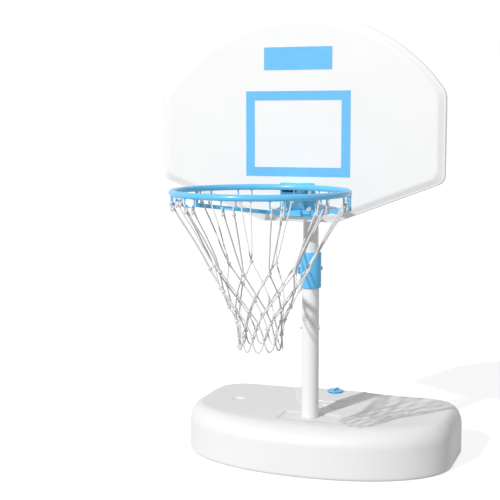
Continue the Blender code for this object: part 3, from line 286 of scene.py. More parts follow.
# A strand's eye: places outside the hook's wire and heights, before and after it goes over the wire
EYE_TAIL = ((0.0022, -0.0150), (0.0030, -0.0040))
EYE_END = (-0.0032, -0.0040)
EYE_SKEW = 0.0008  # how far each side of the eye stands aside along the wire
EYE_START = -30  # angles round the wire, in degrees, between which the eye lies on it
EYE_FINISH = 210
EYE_STEPS = 12
STRAND_STEPS = 8
STRAND_START_INSET = 0.004
STRAND_START_DROP = 0.010
STRAND_SPREAD_AT_KNOT = 0.002
STRAND_BEND = 0.007  # of a strand at its knots
STRAND_WEAVE = 0.25  # how far crossing strands lie in and out of a row, in cord widths
LOOP_WIDTH = 0.9  # of the lowest loops, as a share of the space between knots
LOOP_STEPS = 18
KNOT_RADIUS = 0.0042
KNOT_RISE = 0.0060
KNOT_CORD = 0.0046
KNOT_TURNS = 2
KNOT_SIDES = 6
KNOT_STEPS = 14  # in each turn
KNOT_TUCK = 0.3  # where a knot's ends lie, as a share of its reach
KNOT_TUCK_STEPS = 4  # each step from an end adds this part of the reach
COLLAR_REACH = (0.0046, 0.0040)
COLLAR_RISE = 0.0062
COLLAR_INSET = 0.0006
COLLAR_DROP = 0.0085
COLLAR_CORD = 0.00414

# Finishes
SCUFF_FADE = (0.004, 0.075)  # heights between which the tank's scuffs thin out
RUB_START = (0.655, 0.68)  # heights between which the marks on the tube that slides set in
RUB_END = (0.74, 0.79)  # heights between which they end

# Stage
FLOOR_SIZE = 60
FLOOR_DROP = 0.0005  # below the tank's underside
FLOOR_SHADE = 0.52  # of the floor that lights the object
FLOOR_MATT = 0.45  # shade of the floor in view, which keeps the shadow
FLOOR_GLOW = 0.765  # what the floor in view adds to that
FILL_LIGHT = 0.38  # of the white surround on the object
SUN_LIGHT = 2.52
SUN_WIDTH = math.radians(1.3)
SUN_HEIGHT = math.radians(32.5)
SUN_HEADING = (0.35, 0.94)
SUN_PLACE = (-1.5, -4.0, 3.5)
LENS = 80.92
SENSOR_WIDTH = 36
CAMERA_PLACE = (1.0004, -3.3018, 1.0750)
CAMERA_TURN = (math.radians(90 - 6.605), math.radians(0.05), math.radians(19.97))

# Places that the frame gives
tank_low, tank_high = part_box("base_tank")
ring_low, ring_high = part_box("rim_ring")
cap_low, cap_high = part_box("fill_cap")
board_low, board_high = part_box("backboard")
hook_low, hook_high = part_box("net_hook_01")
stud_low, stud_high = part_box("clamp_stud")
RIM_CENTRE = (ring_low + ring_high) / 2
RIM_TUBE = (ring_high.z - ring_low.z) / 2
RIM_RADIUS = (ring_high.x - ring_low.x) / 2 - RIM_TUBE
RIM_Z = RIM_CENTRE.z
POST_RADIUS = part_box("lower_post")[1].x
HOOK_WIRE_RADIUS = (hook_high.x - hook_low.x) / 2
HOOK_HALF_WIDTH = (hook_high.y - hook_low.y) / 2 - HOOK_WIRE_RADIUS
NET_TOP = hook_low.z - GAP - NET_CORD / 2
CLAMP_AXIS_Y = (stud_low.y + stud_high.y) / 2
CLAMP_AXIS_Z = (stud_low.z + stud_high.z) / 2
CAP_Y = (cap_low.y + cap_high.y) / 2
ALONG_X = Matrix.Rotation(math.radians(90), 4, "Y")
TOWARDS_FRONT = Matrix.Rotation(math.radians(90), 4, "X")
TOWARDS_BACK = Matrix.Rotation(math.radians(-90), 4, "X")


def clear_selection():
    """Leaves nothing selected, because an operator acts on all that is."""
    for item in list(bpy.context.selected_objects):
        item.select_set(False)


def hold(piece):
    """Makes a piece the only one selected, and the active one."""
    clear_selection()
    piece.select_set(True)
    bpy.context.view_layer.objects.active = piece


def edit(piece):
    """Opens a piece in edit mode."""
    hold(piece)
    bpy.ops.object.mode_set(mode="EDIT")


def leave():
    """Goes back to object mode."""
    bpy.ops.object.mode_set(mode="OBJECT")


def pick(kind, test):
    """Selects, in edit mode, the verts, edges or faces that pass a test."""
    mesh = bpy.context.object.data
    bpy.ops.mesh.select_mode(type={"verts": "VERT", "edges": "EDGE", "faces": "FACE"}[kind])
    bpy.ops.mesh.select_all(action="DESELECT")
    shape = bmesh.from_edit_mesh(mesh)
    for element in getattr(shape, kind):
        if test(element):
            element.select_set(True)
    shape.select_flush_mode()
    bmesh.update_edit_mesh(mesh)


def settled(name):
    """Names the piece that was just added and puts its place into its mesh."""
    piece = bpy.context.object
    piece.name = name
    piece.data.name = name
    bpy.ops.object.transform_apply(location=True, rotation=True, scale=True)
    return piece


def cylinder(name, radius, low, high, sides=64):
    """A cylinder round Z between two heights."""
    clear_selection()
    bpy.ops.mesh.primitive_cylinder_add(
        vertices=sides, radius=radius, depth=high - low, location=(0, 0, (low + high) / 2)
    )
    return settled(name)


def block(name, low, high):
    """A box between two corners."""
    clear_selection()
    low, high = Vector(low), Vector(high)
    bpy.ops.mesh.primitive_cube_add(size=1, location=(low + high) / 2, scale=high - low)
    return settled(name)


def place(piece, matrix):
    """Moves a finished shape to its place, inside its mesh."""
    hold(piece)
    piece.matrix_world = matrix
    bpy.ops.object.transform_apply(location=True, rotation=True, scale=True)
    return piece


def copied(piece, name, matrix):
    """A copy of a piece with its own mesh, moved to its place."""
    twin = piece.copy()
    twin.data = piece.data.copy()
    twin.name = name
    twin.data.name = name
    bpy.context.scene.collection.objects.link(twin)
    return place(twin, matrix)


def discard(piece):
    """Removes a shape that was only a pattern or a tool."""
    bpy.data.objects.remove(piece, do_unlink=True)


def gathered(name, pieces):
    """Joins shapes into one piece."""
    hold(pieces[0])
    for item in pieces[1:]:
        item.select_set(True)
    if len(pieces) > 1:
        bpy.ops.object.join()
    pieces[0].name = name
    pieces[0].data.name = name
    return pieces[0]


def applied(piece, kind, **settings):
    """Adds a modifier with its settings and applies it."""
    modifier = piece.modifiers.new(kind.title(), kind)
    for key, value in settings.items():
        setattr(modifier, key, value)
    hold(piece)
    bpy.ops.object.modifier_apply(modifier=modifier.name)
    return piece


def carved(piece, tool, operation="DIFFERENCE"):
    """Cuts a tool out of a piece, or joins it on."""
    applied(piece, "BOOLEAN", operation=operation, solver="EXACT", object=tool)
    discard(tool)
    return piece


def softened(piece, width, steps=2, angle=35):
    """Rounds the edges that are sharper than an angle."""
    return applied(
        piece,
        "BEVEL",
        width=width,
        segments=steps,
        limit_method="ANGLE",
        angle_limit=math.radians(angle),
        use_clamp_overlap=True,
    )


def drawn_line(name, points, closed=False):
    """A line of edges through points, extruded from one vertex."""
    clear_selection()
    bpy.ops.mesh.primitive_plane_add(size=0.01)
    piece = bpy.context.object
    piece.name = name
    bpy.ops.object.mode_set(mode="EDIT")
    bpy.ops.mesh.select_mode(type="VERT")
    bpy.ops.mesh.merge(type="CENTER")
    at = Vector((0, 0, 0))
    bpy.ops.transform.translate(value=Vector(points[0]) - at)
    at = Vector(points[0])
    targets = list(points[1:])
    if closed:
        targets.append(points[0])
    for point in targets:
        bpy.ops.mesh.extrude_vertices_move(TRANSFORM_OT_translate={"value": Vector(point) - at})
        at = Vector(point)
    bpy.ops.mesh.select_all(action="SELECT")
    bpy.ops.mesh.remove_doubles(threshold=MERGE)
    leave()
    return piece


def turned(name, profile, sides=48, closed=False):
    """A profile of (radius, height) points spun round Z."""
    piece = drawn_line(name, [(r, 0, z) for r, z in profile], closed)
    edit(piece)
    bpy.ops.mesh.select_all(action="SELECT")
    bpy.ops.mesh.spin(steps=sides, angle=2 * math.pi, center=(0, 0, 0), axis=(0, 0, 1))
    bpy.ops.mesh.select_all(action="SELECT")
    bpy.ops.mesh.remove_doubles(threshold=MERGE)
    bpy.ops.mesh.normals_make_consistent(inside=False)
    leave()
    return piece


def next_ring(order):
    """The vertices that an extrusion has just made, in the order of the ring that it started from."""
    shape = bmesh.from_edit_mesh(bpy.context.object.data)
    shape.verts.index_update()
    shape.verts.ensure_lookup_table()
    old = set(order)
    made = []
    for index in order:
        near = (edge.other_vert(shape.verts[index]) for edge in shape.verts[index].link_edges)
        made.append(next(vert.index for vert in near if vert.select and vert.index not in old))
    return made


def lay(order, points):
    """Moves the vertices of a ring to its points."""
    mesh = bpy.context.object.data
    shape = bmesh.from_edit_mesh(mesh)
    shape.verts.ensure_lookup_table()
    for index, point in zip(order, points):
        shape.verts[index].co = point
    bmesh.update_edit_mesh(mesh)


def wrapped(name, rings, first=True, last=True):
    """A skin through rings of points: a circle laid on the first one, whose edge is extruded to each next."""
    clear_selection()
    count = len(rings[0])
    bpy.ops.mesh.primitive_circle_add(vertices=count, radius=1)
    piece = bpy.context.object
    piece.name = name
    bpy.ops.object.mode_set(mode="EDIT")
    bpy.ops.mesh.select_mode(type="VERT")
    order = list(range(count))
    lay(order, rings[0])
    ends = [set(order)]
    for ring in rings[1:]:
        bpy.ops.mesh.extrude_edges_move()
        order = next_ring(order)
        lay(order, ring)
    ends.append(set(order))
    for wanted, end in zip((first, last), ends):
        if wanted:
            pick("verts", lambda vert, end=end: vert.index in end)
            bpy.ops.mesh.edge_face_add()
    bpy.ops.mesh.select_all(action="SELECT")
    bpy.ops.mesh.normals_make_consistent(inside=False)
    leave()
    return piece


def arc(centre, radius, start, end, steps):
    """Points of an arc, both ends included, with angles in degrees."""
    angles = [math.radians(start + (end - start) * i / steps) for i in range(steps + 1)]
    return [(centre[0] + radius * math.cos(a), centre[1] + radius * math.sin(a)) for a in angles]


def mirrored(half):
    """A closed outline from its right half, which runs from the middle line back to the middle line."""
    left = [(-x, y) for x, y in reversed(half) if x > MIDDLE]
    return half + left


def dressed(piece, material, body, nodes, angle=35):
    """Gives a finished piece its material, its smooth shading and its place on the frame."""
    hold(piece)
    piece.data.materials.clear()
    piece.data.materials.append(material)
    bpy.ops.object.shade_smooth_by_angle(angle=math.radians(angle))
    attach(piece, body)
    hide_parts(*nodes)
    return piece


class Signal:
    """A socket in a material that is reckoned with like a number."""

    def __init__(self, tree, socket):
        self.tree = tree
        self.socket = socket

    def node(self, kind, settings, inputs, output=0):
        """Adds a node: its settings first, then the values or links of its sockets."""
        made = self.tree.nodes.new(kind)
        for key, value in settings.items():
            setattr(made, key, value)
        for key, value in inputs.items():
            if isinstance(value, Signal):
                self.tree.links.new(value.socket, made.inputs[key])
            else:
                made.inputs[key].default_value = value
        return Signal(self.tree, made.outputs[output])

    def maths(self, operation, first, second):
        """A Math node on two values."""
        return self.node("ShaderNodeMath", {"operation": operation}, {0: first, 1: second})

    def __add__(self, other):
        return self.maths("ADD", self, other)

    __radd__ = __add__

    def __mul__(self, other):
        return self.maths("MULTIPLY", self, other)

    __rmul__ = __mul__

    def __sub__(self, other):
        return self.maths("SUBTRACT", self, other)

    def __rsub__(self, other):
        return self.maths("SUBTRACT", other, self)

    def rise(self, start, end):
        """0 below start and 1 above end, with a soft step between."""
        settings = {"interpolation_type": "SMOOTHSTEP"}
        return self.node("ShaderNodeMapRange", settings, {"Value": self, "From Min": start, "From Max": end})

    def stretched(self, scale):
        """The place vector scaled along each axis."""
        return self.node("ShaderNodeMapping", {}, {"Vector": self, "Scale": scale})

    def noise(self, scale, detail=2.0, roughness=0.5):
        """Noise between 0 and 1, with scale in lumps per metre."""
        values = {"Vector": self, "Scale": scale, "Detail": detail, "Roughness": roughness}
        return self.node("ShaderNodeTexNoise", {}, values)

    def blend(self, low, high):
        """A colour between two, by this value."""
        inputs = {0: self, 6: low, 7: high}
        return self.node("ShaderNodeMix", {"data_type": "RGBA"}, inputs, 2)


def colour(red, green, blue):
    """A colour with full opacity."""
    return (red, green, blue, 1.0)


def new_finish(name, **constants):
    """A material, its Principled shader with the constants set, and the signal of a place on the piece."""
    material = bpy.data.materials.new(name)
    material.use_nodes = True
    tree = material.node_tree
    shader = tree.nodes["Principled BSDF"]
    for key, value in constants.items():
        shader.inputs[key.replace("_", " ")].default_value = value
    spot = tree.nodes.new("ShaderNodeTexCoord")
    return material, shader, Signal(tree, spot.outputs["Object"])


def feed(shader, socket, signal):
    """Links a signal to one of the shader's sockets."""
    signal.tree.links.new(signal.socket, shader.inputs[socket])


def bumped(shader, height, depth, strength=1.0, under=None):
    """Raises the surface by a height signal whose full range is depth metres."""
    values = {"Height": height, "Distance": depth, "Strength": strength}
    if under is not None:
        values["Normal"] = under
    made = height.node("ShaderNodeBump", {}, values)
    feed(shader, "Normal", made)
    return made


def worn_edges(spot, reach):
    """A value that is high on edges sharper than the reach and 0 on flat and gently curved places."""
    rounded = spot.node("ShaderNodeBevel", {"samples": 4}, {"Radius": reach})
    straight = spot.node("ShaderNodeNewGeometry", {}, {}, "Normal")
    same = spot.node("ShaderNodeVectorMath", {"operation": "DOT_PRODUCT"}, {0: rounded, 1: straight}, "Value")
    return 1.0 - same


def tank_plastic():
    """White blow-moulded plastic: fine pebbling, slow waves in the wall, and scuffs near the ground."""
    material, shader, spot = new_finish("white_tank_plastic", Specular_IOR_Level=0.45)
    patches = spot.noise(9.0, 3.0)
    scuffs = spot.stretched((40.0, 40.0, 220.0)).noise(3.0, 4.0, 0.6).rise(0.60, 0.72)
    height = spot.node("ShaderNodeSeparateXYZ", {}, {"Vector": spot}, "Z")
    low_down = 1.0 - height.rise(*SCUFF_FADE)
    dirt = scuffs * low_down * 0.35
    clean = patches.blend(colour(0.815, 0.815, 0.812), colour(0.86, 0.86, 0.857))
    feed(shader, "Base Color", dirt.blend(clean, colour(0.52, 0.51, 0.48)))
    feed(shader, "Roughness", 0.40 + 0.10 * patches + 0.18 * dirt)
    waves = spot.noise(14.0, 1.0)
    swell = bumped(shader, waves, 0.0012)
    pebbles = spot.noise(900.0, 2.0)
    bumped(shader, pebbles, 0.00012, under=swell)
    return material


def board_plastic():
    """White moulded board: a satin face with the faint ripple of a large flat moulding."""
    material, shader, spot = new_finish("white_board_plastic", Specular_IOR_Level=0.5)
    patches = spot.noise(6.0, 2.0)
    feed(shader, "Base Color", patches.blend(colour(0.89, 0.89, 0.887), colour(0.92, 0.92, 0.917)))
    marks = spot.noise(60.0, 6.0, 0.7).rise(0.62, 0.70)
    feed(shader, "Roughness", 0.30 + 0.06 * patches + 0.16 * marks)
    ripple = bumped(shader, spot.noise(10.0, 1.0), 0.0006)
    bumped(shader, spot.noise(1400.0, 1.0), 0.00004, under=ripple)
    return material


def powder_coat(name, main, light, edge, coat_roughness):
    """Powder coat on steel: an orange-peel skin, and paint that is thin along the edges."""
    material, shader, spot = new_finish(name, Coat_Weight=0.25, Coat_Roughness=coat_roughness)
    patches = spot.noise(25.0, 3.0)
    edges = worn_edges(spot, 0.0012).rise(0.03, 0.22)
    chips = spot.noise(420.0, 3.0).rise(0.50, 0.62)
    worn = edges * chips
    painted = patches.blend(main, light)
    feed(shader, "Base Color", (worn * 0.75).blend(painted, edge))
    feed(shader, "Roughness", 0.27 + 0.07 * patches + 0.2 * worn)
    peel = bumped(shader, spot.noise(520.0, 1.0), 0.00006)
    bumped(shader, spot.noise(2600.0, 1.0), 0.000015, under=peel)
    return material


def rubbed_paint():
    """The white powder coat of the tube that slides, with rub marks along it where the clamp grips."""
    material, shader, spot = new_finish("white_paint_rubbed", Coat_Weight=0.25, Coat_Roughness=0.22)
    patches = spot.noise(25.0, 3.0)
    lines = spot.stretched((700.0, 700.0, 6.0)).noise(1.0, 3.0, 0.6).rise(0.56, 0.70)
    height = spot.node("ShaderNodeSeparateXYZ", {}, {"Vector": spot}, "Z")
    zone = height.rise(*RUB_START) * (1.0 - height.rise(*RUB_END))
    rubbed = lines * zone
    painted = patches.blend(colour(0.83, 0.83, 0.827), colour(0.87, 0.87, 0.867))
    feed(shader, "Base Color", (rubbed * 0.45).blend(painted, colour(0.62, 0.63, 0.64)))
    feed(shader, "Roughness", 0.27 + 0.07 * patches + 0.22 * rubbed)
    peel = bumped(shader, spot.noise(520.0, 1.0), 0.00006)
    bumped(shader, lines, 0.00002, under=peel)
    return material


def moulded_blue():
    """Blue injection-moulded plastic: satin, a little worn on its corners."""
    material, shader, spot = new_finish("blue_plastic", Specular_IOR_Level=0.5)
    patches = spot.noise(40.0, 3.0)
    edges = worn_edges(spot, 0.0010).rise(0.04, 0.3)
    base = patches.blend(colour(0.11, 0.52, 0.92), colour(0.135, 0.57, 0.97))
    feed(shader, "Base Color", (edges * 0.35).blend(base, colour(0.32, 0.62, 0.93)))
    feed(shader, "Roughness", 0.34 + 0.10 * patches)
    bumped(shader, spot.noise(1500.0, 2.0), 0.00005)
    return material


def printed_blue():
    """Screen-printed ink: flat, with a fine mesh texture and a few bald specks."""
    material, shader, spot = new_finish("blue_print")
    patches = spot.noise(30.0, 2.0)
    specks = spot.noise(700.0, 4.0, 0.65).rise(0.66, 0.74)
    ink = patches.blend(colour(0.135, 0.505, 0.89), colour(0.165, 0.555, 0.925))
    feed(shader, "Base Color", (specks * 0.5).blend(ink, colour(0.62, 0.79, 0.95)))
    feed(shader, "Roughness", 0.38 + 0.10 * patches)
    bumped(shader, spot.noise(2200.0, 1.0), 0.00002)
    return material


def dark_finish(name, shade, rough, grain, depth):
    """Black plastic or rubber with a fine grain."""
    material, shader, spot = new_finish(name)
    patches = spot.noise(80.0, 3.0)
    low = colour(shade * 0.85, shade * 0.85, shade * 0.88)
    high = colour(shade * 1.3, shade * 1.3, shade * 1.32)
    feed(shader, "Base Color", patches.blend(low, high))
    feed(shader, "Roughness", rough + 0.12 * patches)
    bumped(shader, spot.noise(grain, 2.0), depth)
    return material


def zinc_plate():
    """Zinc plating: cloudy passivated patches over bright metal."""
    material, shader, spot = new_finish("zinc", Metallic=1.0)
    clouds = spot.noise(260.0, 4.0, 0.6)
    feed(shader, "Base Color", clouds.blend(colour(0.56, 0.57, 0.60), colour(0.72, 0.72, 0.72)))
    feed(shader, "Roughness", 0.24 + 0.20 * clouds)
    bumped(shader, spot.noise(1800.0, 2.0), 0.00002)
    return material


def braided_cord():
    """White braided cord: crossing yarns along and round each strand, read from its UV map, with painted
    shade in the grooves between the yarns.
    """
    material, shader, spot = new_finish("net_cord", Roughness=0.82)
    along = spot.node("ShaderNodeUVMap", {"uv_map": "cord"}, {}, "UV")
    apart = {"Vector": along}
    down = along.node("ShaderNodeSeparateXYZ", {}, apart, "X")
    around = along.node("ShaderNodeSeparateXYZ", {}, apart, "Y")
    one_way = down.maths("PINGPONG", down + around, 0.5)
    other_way = down.maths("PINGPONG", down - around, 0.5)
    yarn = down.maths("MAXIMUM", one_way, other_way) * 2.0
    fluff = spot.noise(900.0, 3.0)
    # painted shade: the colour darkens where the yarns are low, in the grooves between them, plus random tone
    # from the fluff noise
    groove_shade_and_fluff = yarn * 0.6 + fluff * 0.4
    feed(shader, "Base Color", groove_shade_and_fluff.blend(colour(0.66, 0.66, 0.665), colour(0.86, 0.86, 0.855)))
    bumped(shader, yarn + 0.5 * fluff, 0.00035)
    return material


WHITE = colour(1, 1, 1)
WHITE_TANK = tank_plastic()
WHITE_BOARD = board_plastic()
WHITE_PAINT = powder_coat(
    "white_paint", colour(0.83, 0.83, 0.827), colour(0.87, 0.87, 0.867), colour(0.60, 0.60, 0.60), 0.22
)
RUBBED_PAINT = rubbed_paint()
BLUE_PAINT = powder_coat(
    "blue_paint", colour(0.110, 0.56, 0.95), colour(0.130, 0.605, 0.985), colour(0.38, 0.68, 0.93), 0.12
)
BLUE_PLASTIC = moulded_blue()
BLUE_PRINT = printed_blue()
BLACK_PLASTIC = dark_finish("black_plastic", 0.03, 0.45, 1500.0, 0.00005)
SEAL_RUBBER = dark_finish("seal_rubber", 0.045, 0.70, 2500.0, 0.00003)
ZINC = zinc_plate()
NET_CORD_FINISH = braided_cord()
FINISHES = {
    "tank_plastic": WHITE_TANK,
    "board_plastic": WHITE_BOARD,
    "white_paint": WHITE_PAINT,
    "blue_paint": BLUE_PAINT,
    "blue_plastic": BLUE_PLASTIC,
    "blue_print": BLUE_PRINT,
    "black_plastic": BLACK_PLASTIC,
    "seal_rubber": SEAL_RUBBER,
    "zinc": ZINC,
    "net_cord": NET_CORD_FINISH,
}


def paint_the_nodes():
    """Gives every CAD node the finish that the record names for it."""
    slots = {entry["node"]: entry["material_slot"] for entry in frame["record"]["subparts"]}
    for name, item in frame["nodes"].items():
        item.data.materials.clear()
        item.data.materials.append(FINISHES[slots[name]])


def tank_plan(side, front, back, z):
    """The tank's outline drawn in by the given amounts at its sides, front and back."""
    half = tank_high.x - side
    depth = TANK_FULL_WIDTH_Y - tank_low.y - front
    end = tank_high.y - back
    corner = TANK_BACK_CORNER - min(side, back)
    curve = []
    for i in range(PLAN_FRONT_STEPS + 1):
        angle = math.radians(90 * i / PLAN_FRONT_STEPS)
        x = half * math.sin(angle) ** (2 / TANK_FRONT_POWER)
        y = TANK_FULL_WIDTH_Y - depth * max(math.cos(angle), 0) ** (2 / TANK_FRONT_POWER)
        curve.append((x, y))
    curve += arc((half - corner, end - corner), corner, 0, 90, PLAN_CORNER_STEPS)
    return [(x, y, z) for x, y in mirrored(curve)]


def tank_rings():
    """The rings of the tank's skin from its underside, round the heel, up the wall and over the shoulder."""
    rings = []
    for i in range(HEEL_STEPS + 1):
        angle = math.radians(90 * i / HEEL_STEPS)
        inward = TANK_HEEL * (1 - math.sin(angle)) * HEEL_TUCK
        rings.append(tank_plan(inward, inward, inward, TANK_HEEL * (1 - math.cos(angle))))
    wall_top = TANK_HEIGHT - SHOULDER_HEIGHT
    for i in range(1, WALL_STEPS):
        rings.append(tank_plan(0, 0, 0, TANK_HEEL + (wall_top - TANK_HEEL) * i / WALL_STEPS))
    for i in range(SHOULDER_STEPS + 1):
        angle = math.radians(90 * i / SHOULDER_STEPS)
        inward = 1 - math.cos(angle)
        side, front, back = (width * inward for width in (SHOULDER_SIDE, SHOULDER_FRONT, SHOULDER_BACK))
        rings.append(tank_plan(side, front, back, wall_top + SHOULDER_HEIGHT * math.sin(angle)))
    return rings


def inside_deck(x, y, margin):
    """Whether a point lies on the flat deck, further than a margin from its edge."""
    half = tank_high.x - SHOULDER_SIDE - margin
    depth = TANK_FULL_WIDTH_Y - tank_low.y - SHOULDER_FRONT - margin
    end = tank_high.y - SHOULDER_BACK - margin
    if abs(x) >= half or y >= end:
        return False
    if y < TANK_FULL_WIDTH_Y:
        reach = (abs(x) / half) ** TANK_FRONT_POWER
        reach += ((TANK_FULL_WIDTH_Y - y) / depth) ** TANK_FRONT_POWER
        return reach < 1
    corner = TANK_BACK_CORNER - SHOULDER_BACK
    beside = abs(x) - (half - corner)
    behind = y - (end - corner)
    return beside < 0 or behind < 0 or math.hypot(beside, behind) < corner


def raised_panel():
    """The panel with the filler's hole, a solid that sits in the deck."""
    foot = mirrored(list(PANEL_FOOT))
    crest = mirrored(list(PANEL_CREST))
    step = PANEL_HEIGHT - PANEL_STEP
    levels = ((foot, -TANK_WALL / 2), (foot, PANEL_STEP), (crest, step), (crest, PANEL_HEIGHT))
    rings = [[(x, CAP_Y + y, TANK_HEIGHT + rise) for x, y in outline] for outline, rise in levels]
    panel = wrapped("raised_panel", rings)
    hole = cylinder("filler", FILL_HOLE_RADIUS + GAP, TANK_HEIGHT - TANK_WALL, TANK_HEIGHT + 2 * PANEL_HEIGHT)
    carved(panel, place(hole, Matrix.Translation((0, CAP_Y, 0))))
    hold(softened(panel, PANEL_CREASE, angle=8))
    bpy.ops.object.shade_smooth_by_angle(angle=PANEL_FACET)
    return panel


def eased(share):
    """A share kept between 0 and 1, with a soft start and end."""
    share = min(max(share, 0), 1)
    return share * share * (3 - 2 * share)


def deck_height(x, y):
    """Height of the deck's surface over the plain deck, in the post's pocket and the dimples."""
    beside = abs(x) - (POCKET_HALF_WIDTH - POCKET_CORNER)
    middle = (POCKET_FRONT + POCKET_BACK) / 2
    beyond = abs(y - middle) - ((POCKET_BACK - POCKET_FRONT) / 2 - POCKET_CORNER)
    edge = math.hypot(max(beside, 0), max(beyond, 0)) + min(max(beside, beyond), 0) - POCKET_CORNER
    height = -POCKET_DEPTH * eased((POCKET_LIP - edge) / POCKET_SLOPE)
    across = (abs(x) - DIMPLE_X) / DIMPLE_HALF_WIDTH
    along = (y - DIMPLE_Y) / DIMPLE_HALF_LENGTH
    away = math.hypot(across, along)
    return height - DIMPLE_DEPTH * eased((DIMPLE_LIP - away) / DIMPLE_SLOPE)


def near_detail(x, y, margin):
    """Whether a place on the deck is near one of its details, where the mesh is finer."""
    if abs(x) < POCKET_HALF_WIDTH + margin and POCKET_FRONT - margin < y < POCKET_BACK + margin:
        return True
    if math.hypot(x, y - CAP_Y) < 2 * FILL_HOLE_RADIUS + margin:
        return True
    return near_dimple(x, y, margin)


def near_dimple(x, y, margin):
    """Whether a place on the deck is in or round a finger dimple."""
    return math.hypot(abs(x) - DIMPLE_X, y - DIMPLE_Y) < DIMPLE_HALF_WIDTH + margin


def add_round_hole(x, y, z, radius):
    """Opens a round hole in the deck: the faces inside it go, and the rest is filled up to a circle."""
    centre = Vector((x, y))
    pick("faces", lambda face: math.hypot(*(face.calc_center_median().xy - centre)) < radius + HOLE_MARGIN)
    bpy.ops.mesh.delete(type="FACE")
    bpy.ops.mesh.select_all(action="DESELECT")
    bpy.ops.mesh.primitive_circle_add(vertices=HOLE_SIDES, radius=radius, location=(x, y, z))
    shape = bmesh.from_edit_mesh(bpy.context.object.data)
    for edge in shape.edges:
        middle = (edge.verts[0].co + edge.verts[1].co) / 2
        close = math.hypot(middle.x - x, middle.y - y) < radius + HOLE_REACH
        if len(edge.link_faces) < 2 and close:
            edge.select_set(True)
    bmesh.update_edit_mesh(bpy.context.object.data)
    bpy.ops.mesh.select_mode(type="EDGE")
    bpy.ops.mesh.fill()


def joins_deck_to_shoulder(edge):
    """Whether an edge is on the open seam between the deck and the shoulder."""
    spot = edge.verts[0].co
    if len(edge.link_faces) != 1 or spot.z <= TANK_HEIGHT - MERGE:
        return False
    return math.hypot(spot.x, spot.y - CAP_Y) > FILL_HOLE_RADIUS + DECK_MARGIN


def make_tank():
    """The blow-moulded tank: its wall, its shoulder, its deck and the raised panel."""
    shell = wrapped("base_tank_skin", tank_rings(), last=False)
    columns = round((tank_high.x - tank_low.x) / DECK_CELL)
    rows = round((tank_high.y - tank_low.y) / DECK_CELL)
    clear_selection()
    bpy.ops.mesh.primitive_grid_add(
        x_subdivisions=columns,
        y_subdivisions=rows,
        size=1,
        location=(0, (tank_low.y + tank_high.y) / 2, TANK_HEIGHT),
        scale=(columns * DECK_CELL, rows * DECK_CELL, 1),
    )
    deck = settled("deck")
    edit(deck)
    pick("faces", lambda face: not all(inside_deck(v.co.x, v.co.y, DECK_MARGIN) for v in face.verts))
    bpy.ops.mesh.delete(type="FACE")
    pick("faces", lambda face: near_detail(*face.calc_center_median().xy, DETAIL_MARGIN))
    bpy.ops.mesh.subdivide(number_cuts=1)
    pick("faces", lambda face: near_dimple(*face.calc_center_median().xy, DIMPLE_MARGIN))
    bpy.ops.mesh.subdivide(number_cuts=1)
    shape = bmesh.from_edit_mesh(deck.data)
    for vert in shape.verts:
        if not vert.is_boundary:
            vert.co.z = TANK_HEIGHT + deck_height(vert.co.x, vert.co.y)
    bmesh.update_edit_mesh(deck.data)
    floor = TANK_HEIGHT - POCKET_DEPTH
    well = POST_RADIUS + WELL_CLEARANCE
    add_round_hole(0, 0, floor, well)
    add_round_hole(0, CAP_Y, TANK_HEIGHT, FILL_HOLE_RADIUS)
    pick("edges", lambda edge: all(abs(math.hypot(v.co.x, v.co.y) - well) < MERGE for v in edge.verts))
    bpy.ops.mesh.extrude_edges_move(TRANSFORM_OT_translate={"value": (0, 0, WELL_FLOOR - floor)})
    bpy.ops.mesh.edge_face_add()
    leave()
    tank = gathered("base_tank_skin", [shell, deck])
    edit(tank)
    pick("edges", joins_deck_to_shoulder)
    bpy.ops.mesh.fill()
    bpy.ops.mesh.select_all(action="SELECT")
    bpy.ops.mesh.remove_doubles(threshold=MERGE)
    bpy.ops.mesh.normals_make_consistent(inside=False)
    leave()
    applied(tank, "SOLIDIFY", thickness=TANK_WALL, offset=-1)
    tank = gathered("base_tank_skin", [tank, raised_panel()])
    dressed(tank, WHITE_TANK, "base", ["base_tank"], 40)


def tube(name, radius, wall, low, high):
    """A steel tube with rounded rims."""
    inner = radius - wall
    edge = TUBE_EDGE
    profile = [
        (radius, low + edge),
        (radius, high - edge),
        (radius - edge, high),
        (inner + edge, high),
        (inner, high - edge),
        (inner, low + edge),
        (inner + edge, low),
        (radius - edge, low),
    ]
    return softened(turned(name, profile, TUBE_SIDES, closed=True), TUBE_EDGE_SOFTENING)


def make_posts():
    """Both tubes of the post and the plug in the upper one's top."""
    low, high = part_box("lower_post")
    lower = tube("lower_post_tube", high.x, POST_WALL, low.z, high.z)
    dressed(lower, WHITE_PAINT, "base", ["lower_post"])
    low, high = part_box("upper_post")
    upper = tube("upper_post_tube", high.x, UPPER_POST_WALL, low.z, high.z)
    dressed(upper, RUBBED_PAINT, "carriage", ["upper_post"])
    low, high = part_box("upper_post_top_plug")
    bore = high.x - UPPER_POST_WALL - GAP
    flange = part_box("upper_post")[1].z + GAP
    top = high.z
    dish = top - PLUG_DISH_DEPTH
    profile = [
        (0, dish),
        (bore * PLUG_DISH_FLOOR, dish),
        (bore * PLUG_DISH_RIM, top),
        (high.x - PLUG_EDGE, top),
        (high.x, top - PLUG_EDGE),
        (high.x, flange),
        (bore, flange),
        (bore, low.z + PLUG_TIP),
        (bore - PLUG_TIP, low.z),
        (0, low.z),
    ]
    plug = turned("post_top_plug", profile, 64)
    dressed(plug, BLACK_PLASTIC, "carriage", ["upper_post_top_plug"])


